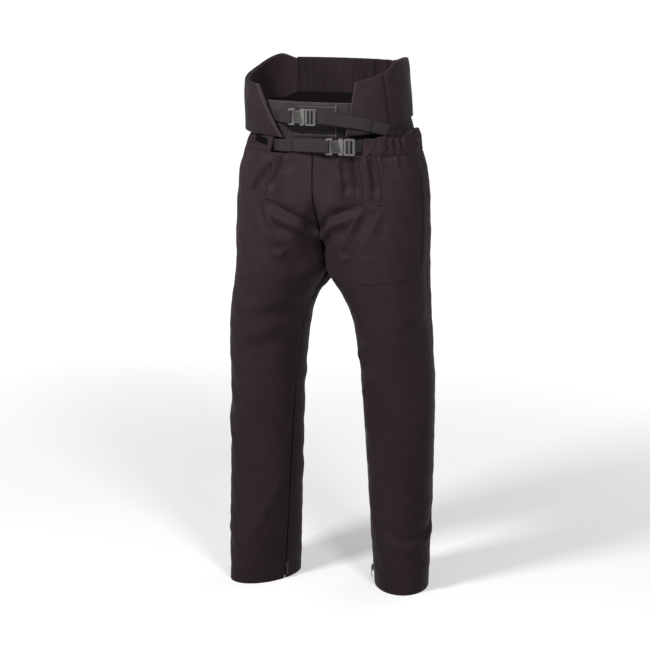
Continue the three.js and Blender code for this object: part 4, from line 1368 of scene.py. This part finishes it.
def fix_normals(obj):
    b = bmesh.new()
    b.from_mesh(obj.data)
    bmesh.ops.recalc_face_normals(b, faces=b.faces)
    b.to_mesh(obj.data)
    b.free()


def around_bar(name):
    return [near(name, -36, -6), near(name, -31, -6.2), near(name, -26.2, -6.2), near(name, -24.4, -5),
            near(name, -24.2, -1)]


def from_slot(name):
    return [near(name, 24, -0.5), near(name, 24.2, 3), near(name, 26, 5.4), near(name, 33, 5.4)]


def behind_wing(angle, z):
    return on_belt(angle, z, -13.4)


webbing("upper_strap_right",
        [behind_wing(-40, 1033), behind_wing(-23, 1034), near("upper", -46, -2), *around_bar("upper")])
upper_tail = [
    near("upper", 21, 3.0), near("upper", 26, 3.1), near("upper", 30, 2.8), near("upper", 36, 0.5),
    near("upper", 43, -3.0), on_belt(20, 1030, 4.5), on_belt(35, 1024, 3.5), on_belt(50, 1014, 3.5),
    on_belt(57, 1009, 3.5),
]
webbing("upper_strap_tail", upper_tail, "upper_plug", tacks=(130, 134))
webbing("lower_strap_right",
        [on_waist(-37, 973, -10), on_waist(-29, 973, -10), on_waist(-24, 973.5, -3), on_waist(-20, 974, 3),
         on_waist(-10, 975, 5), *around_bar("lower")], tacks=(48, 86))
upper_left = webbing("upper_strap_left",
                     [*from_slot("upper"), on_belt(14, 1034, -6), behind_wing(24, 1032),
                      behind_wing(42, 1026)], None)
lower_left = webbing(
    "lower_strap_left",
    [*from_slot("lower")[:3], near("lower", 31, 8.5), on_waist(30, 977, -8), on_waist(36, 977, -8)], None)
# the strap behind a plug starts in its slot and ends where it is sewn to the garment
for strap, name, fixed in (
    (upper_left, "upper", behind_wing(24, 1032)), (lower_left, "lower", on_waist(36, 977, -8))
):
    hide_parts(f"{name}_strap_left")
    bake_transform(strap)


def bevelled(node, width, material):
    """A CAD node kept as it is, with softened edges and its own material."""
    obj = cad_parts[node]
    modifier = obj.modifiers.new("edges", "BEVEL")
    modifier.width = width
    modifier.segments = 3
    modifier.limit_method = "ANGLE"
    modifier.angle_limit = math.radians(35)
    obj.data.materials.clear()
    obj.data.materials.append(material)


for name in PLACES:
    bevelled(f"{name}_socket", 0.0009, PLASTIC)
    bevelled(f"{name}_plug", 0.0008, PLASTIC)
    for end in ("top", "bottom"):
        bevelled(f"{name}_prong_{end}", 0.0006, PLASTIC)


# ---- zips ----
def zip_point(side, z, out, sideways=0.0):
    x, y = inseam(z)
    a = math.radians(20)
    x = x - out * math.cos(a) + sideways * math.sin(a)
    y = y - out * math.sin(a) - sideways * math.cos(a)
    forward_x, forward_y = stride(side, z)
    return np.array([side * x + forward_x, y + forward_y, z], float)


def zip_tape(hand):
    side = SIDES[hand]
    z = np.linspace(ZIP_TOP_Z, 4, 120)
    s = np.linspace(-11, 11, 13)
    outer = np.array([[zip_point(side, h, -6 + 0.25 * math.sin(h * 0.13), k) for k in s] for h in z])
    inner = np.array([[zip_point(side, h, -7.2 + 0.25 * math.sin(h * 0.13), k) for k in s] for h in z])
    obj = shell(f"zip_tape_{hand}", outer, inner, grid_uv(outer), ELASTIC, bead=0.2)
    put(obj, f"zip_tape_{hand}", slot="black_lining")
    cloth(obj, one_face_area(outer), 22, "stretched", [f"front_panel_{hand}", f"back_panel_{hand}"])


def zip_chain(hand):
    """Two rows of meshed coil: short bent teeth, turn by turn."""
    side = SIDES[hand]
    runs = []
    pitch, top, low = 1.6, ZIP_TOP_Z - 5, 9
    ring = np.linspace(0, 2 * math.pi, 6, endpoint=False)
    for k, z in enumerate(np.arange(low, top, pitch / 2)):
        way = 1 if k % 2 else -1
        stations = [(-0.3, 2.3, 0.35), (0.2, 1.2, 0.5), (0.35, 0.0, 0.5), (0.2, -0.7, 0.4)]
        rings = []
        for bulge, across, fat in stations:
            centre = zip_point(side, z, -1.5 + bulge, way * across)
            ahead = zip_point(side, z, -1.5 + bulge, way * (across - 1)) - centre
            outwards = zip_point(side, z, 0.0) - zip_point(side, z, -1.0)
            upward = np.cross(ahead, outwards)
            rings.append(
                [centre + fat * (math.cos(a) * outwards + 0.75 * math.sin(a) * upward) for a in ring]
            )
        runs.append(rings)
    vertices, faces = beads(runs, len(ring))
    obj = make_object(f"zip_chain_{hand}", vertices, faces, np.array(vertices)[:, 1:] * MM, {}, ZIP)
    fix_normals(obj)
    put(obj, f"zip_chain_{hand}", slot="zip")


for hand in SIDES:
    zip_tape(hand)
    zip_chain(hand)
    bevelled(f"zip_slider_{hand}", 0.0009, ZIP_METAL)
    bevelled(f"zip_pull_{hand}", 0.0006, ZIP_METAL)
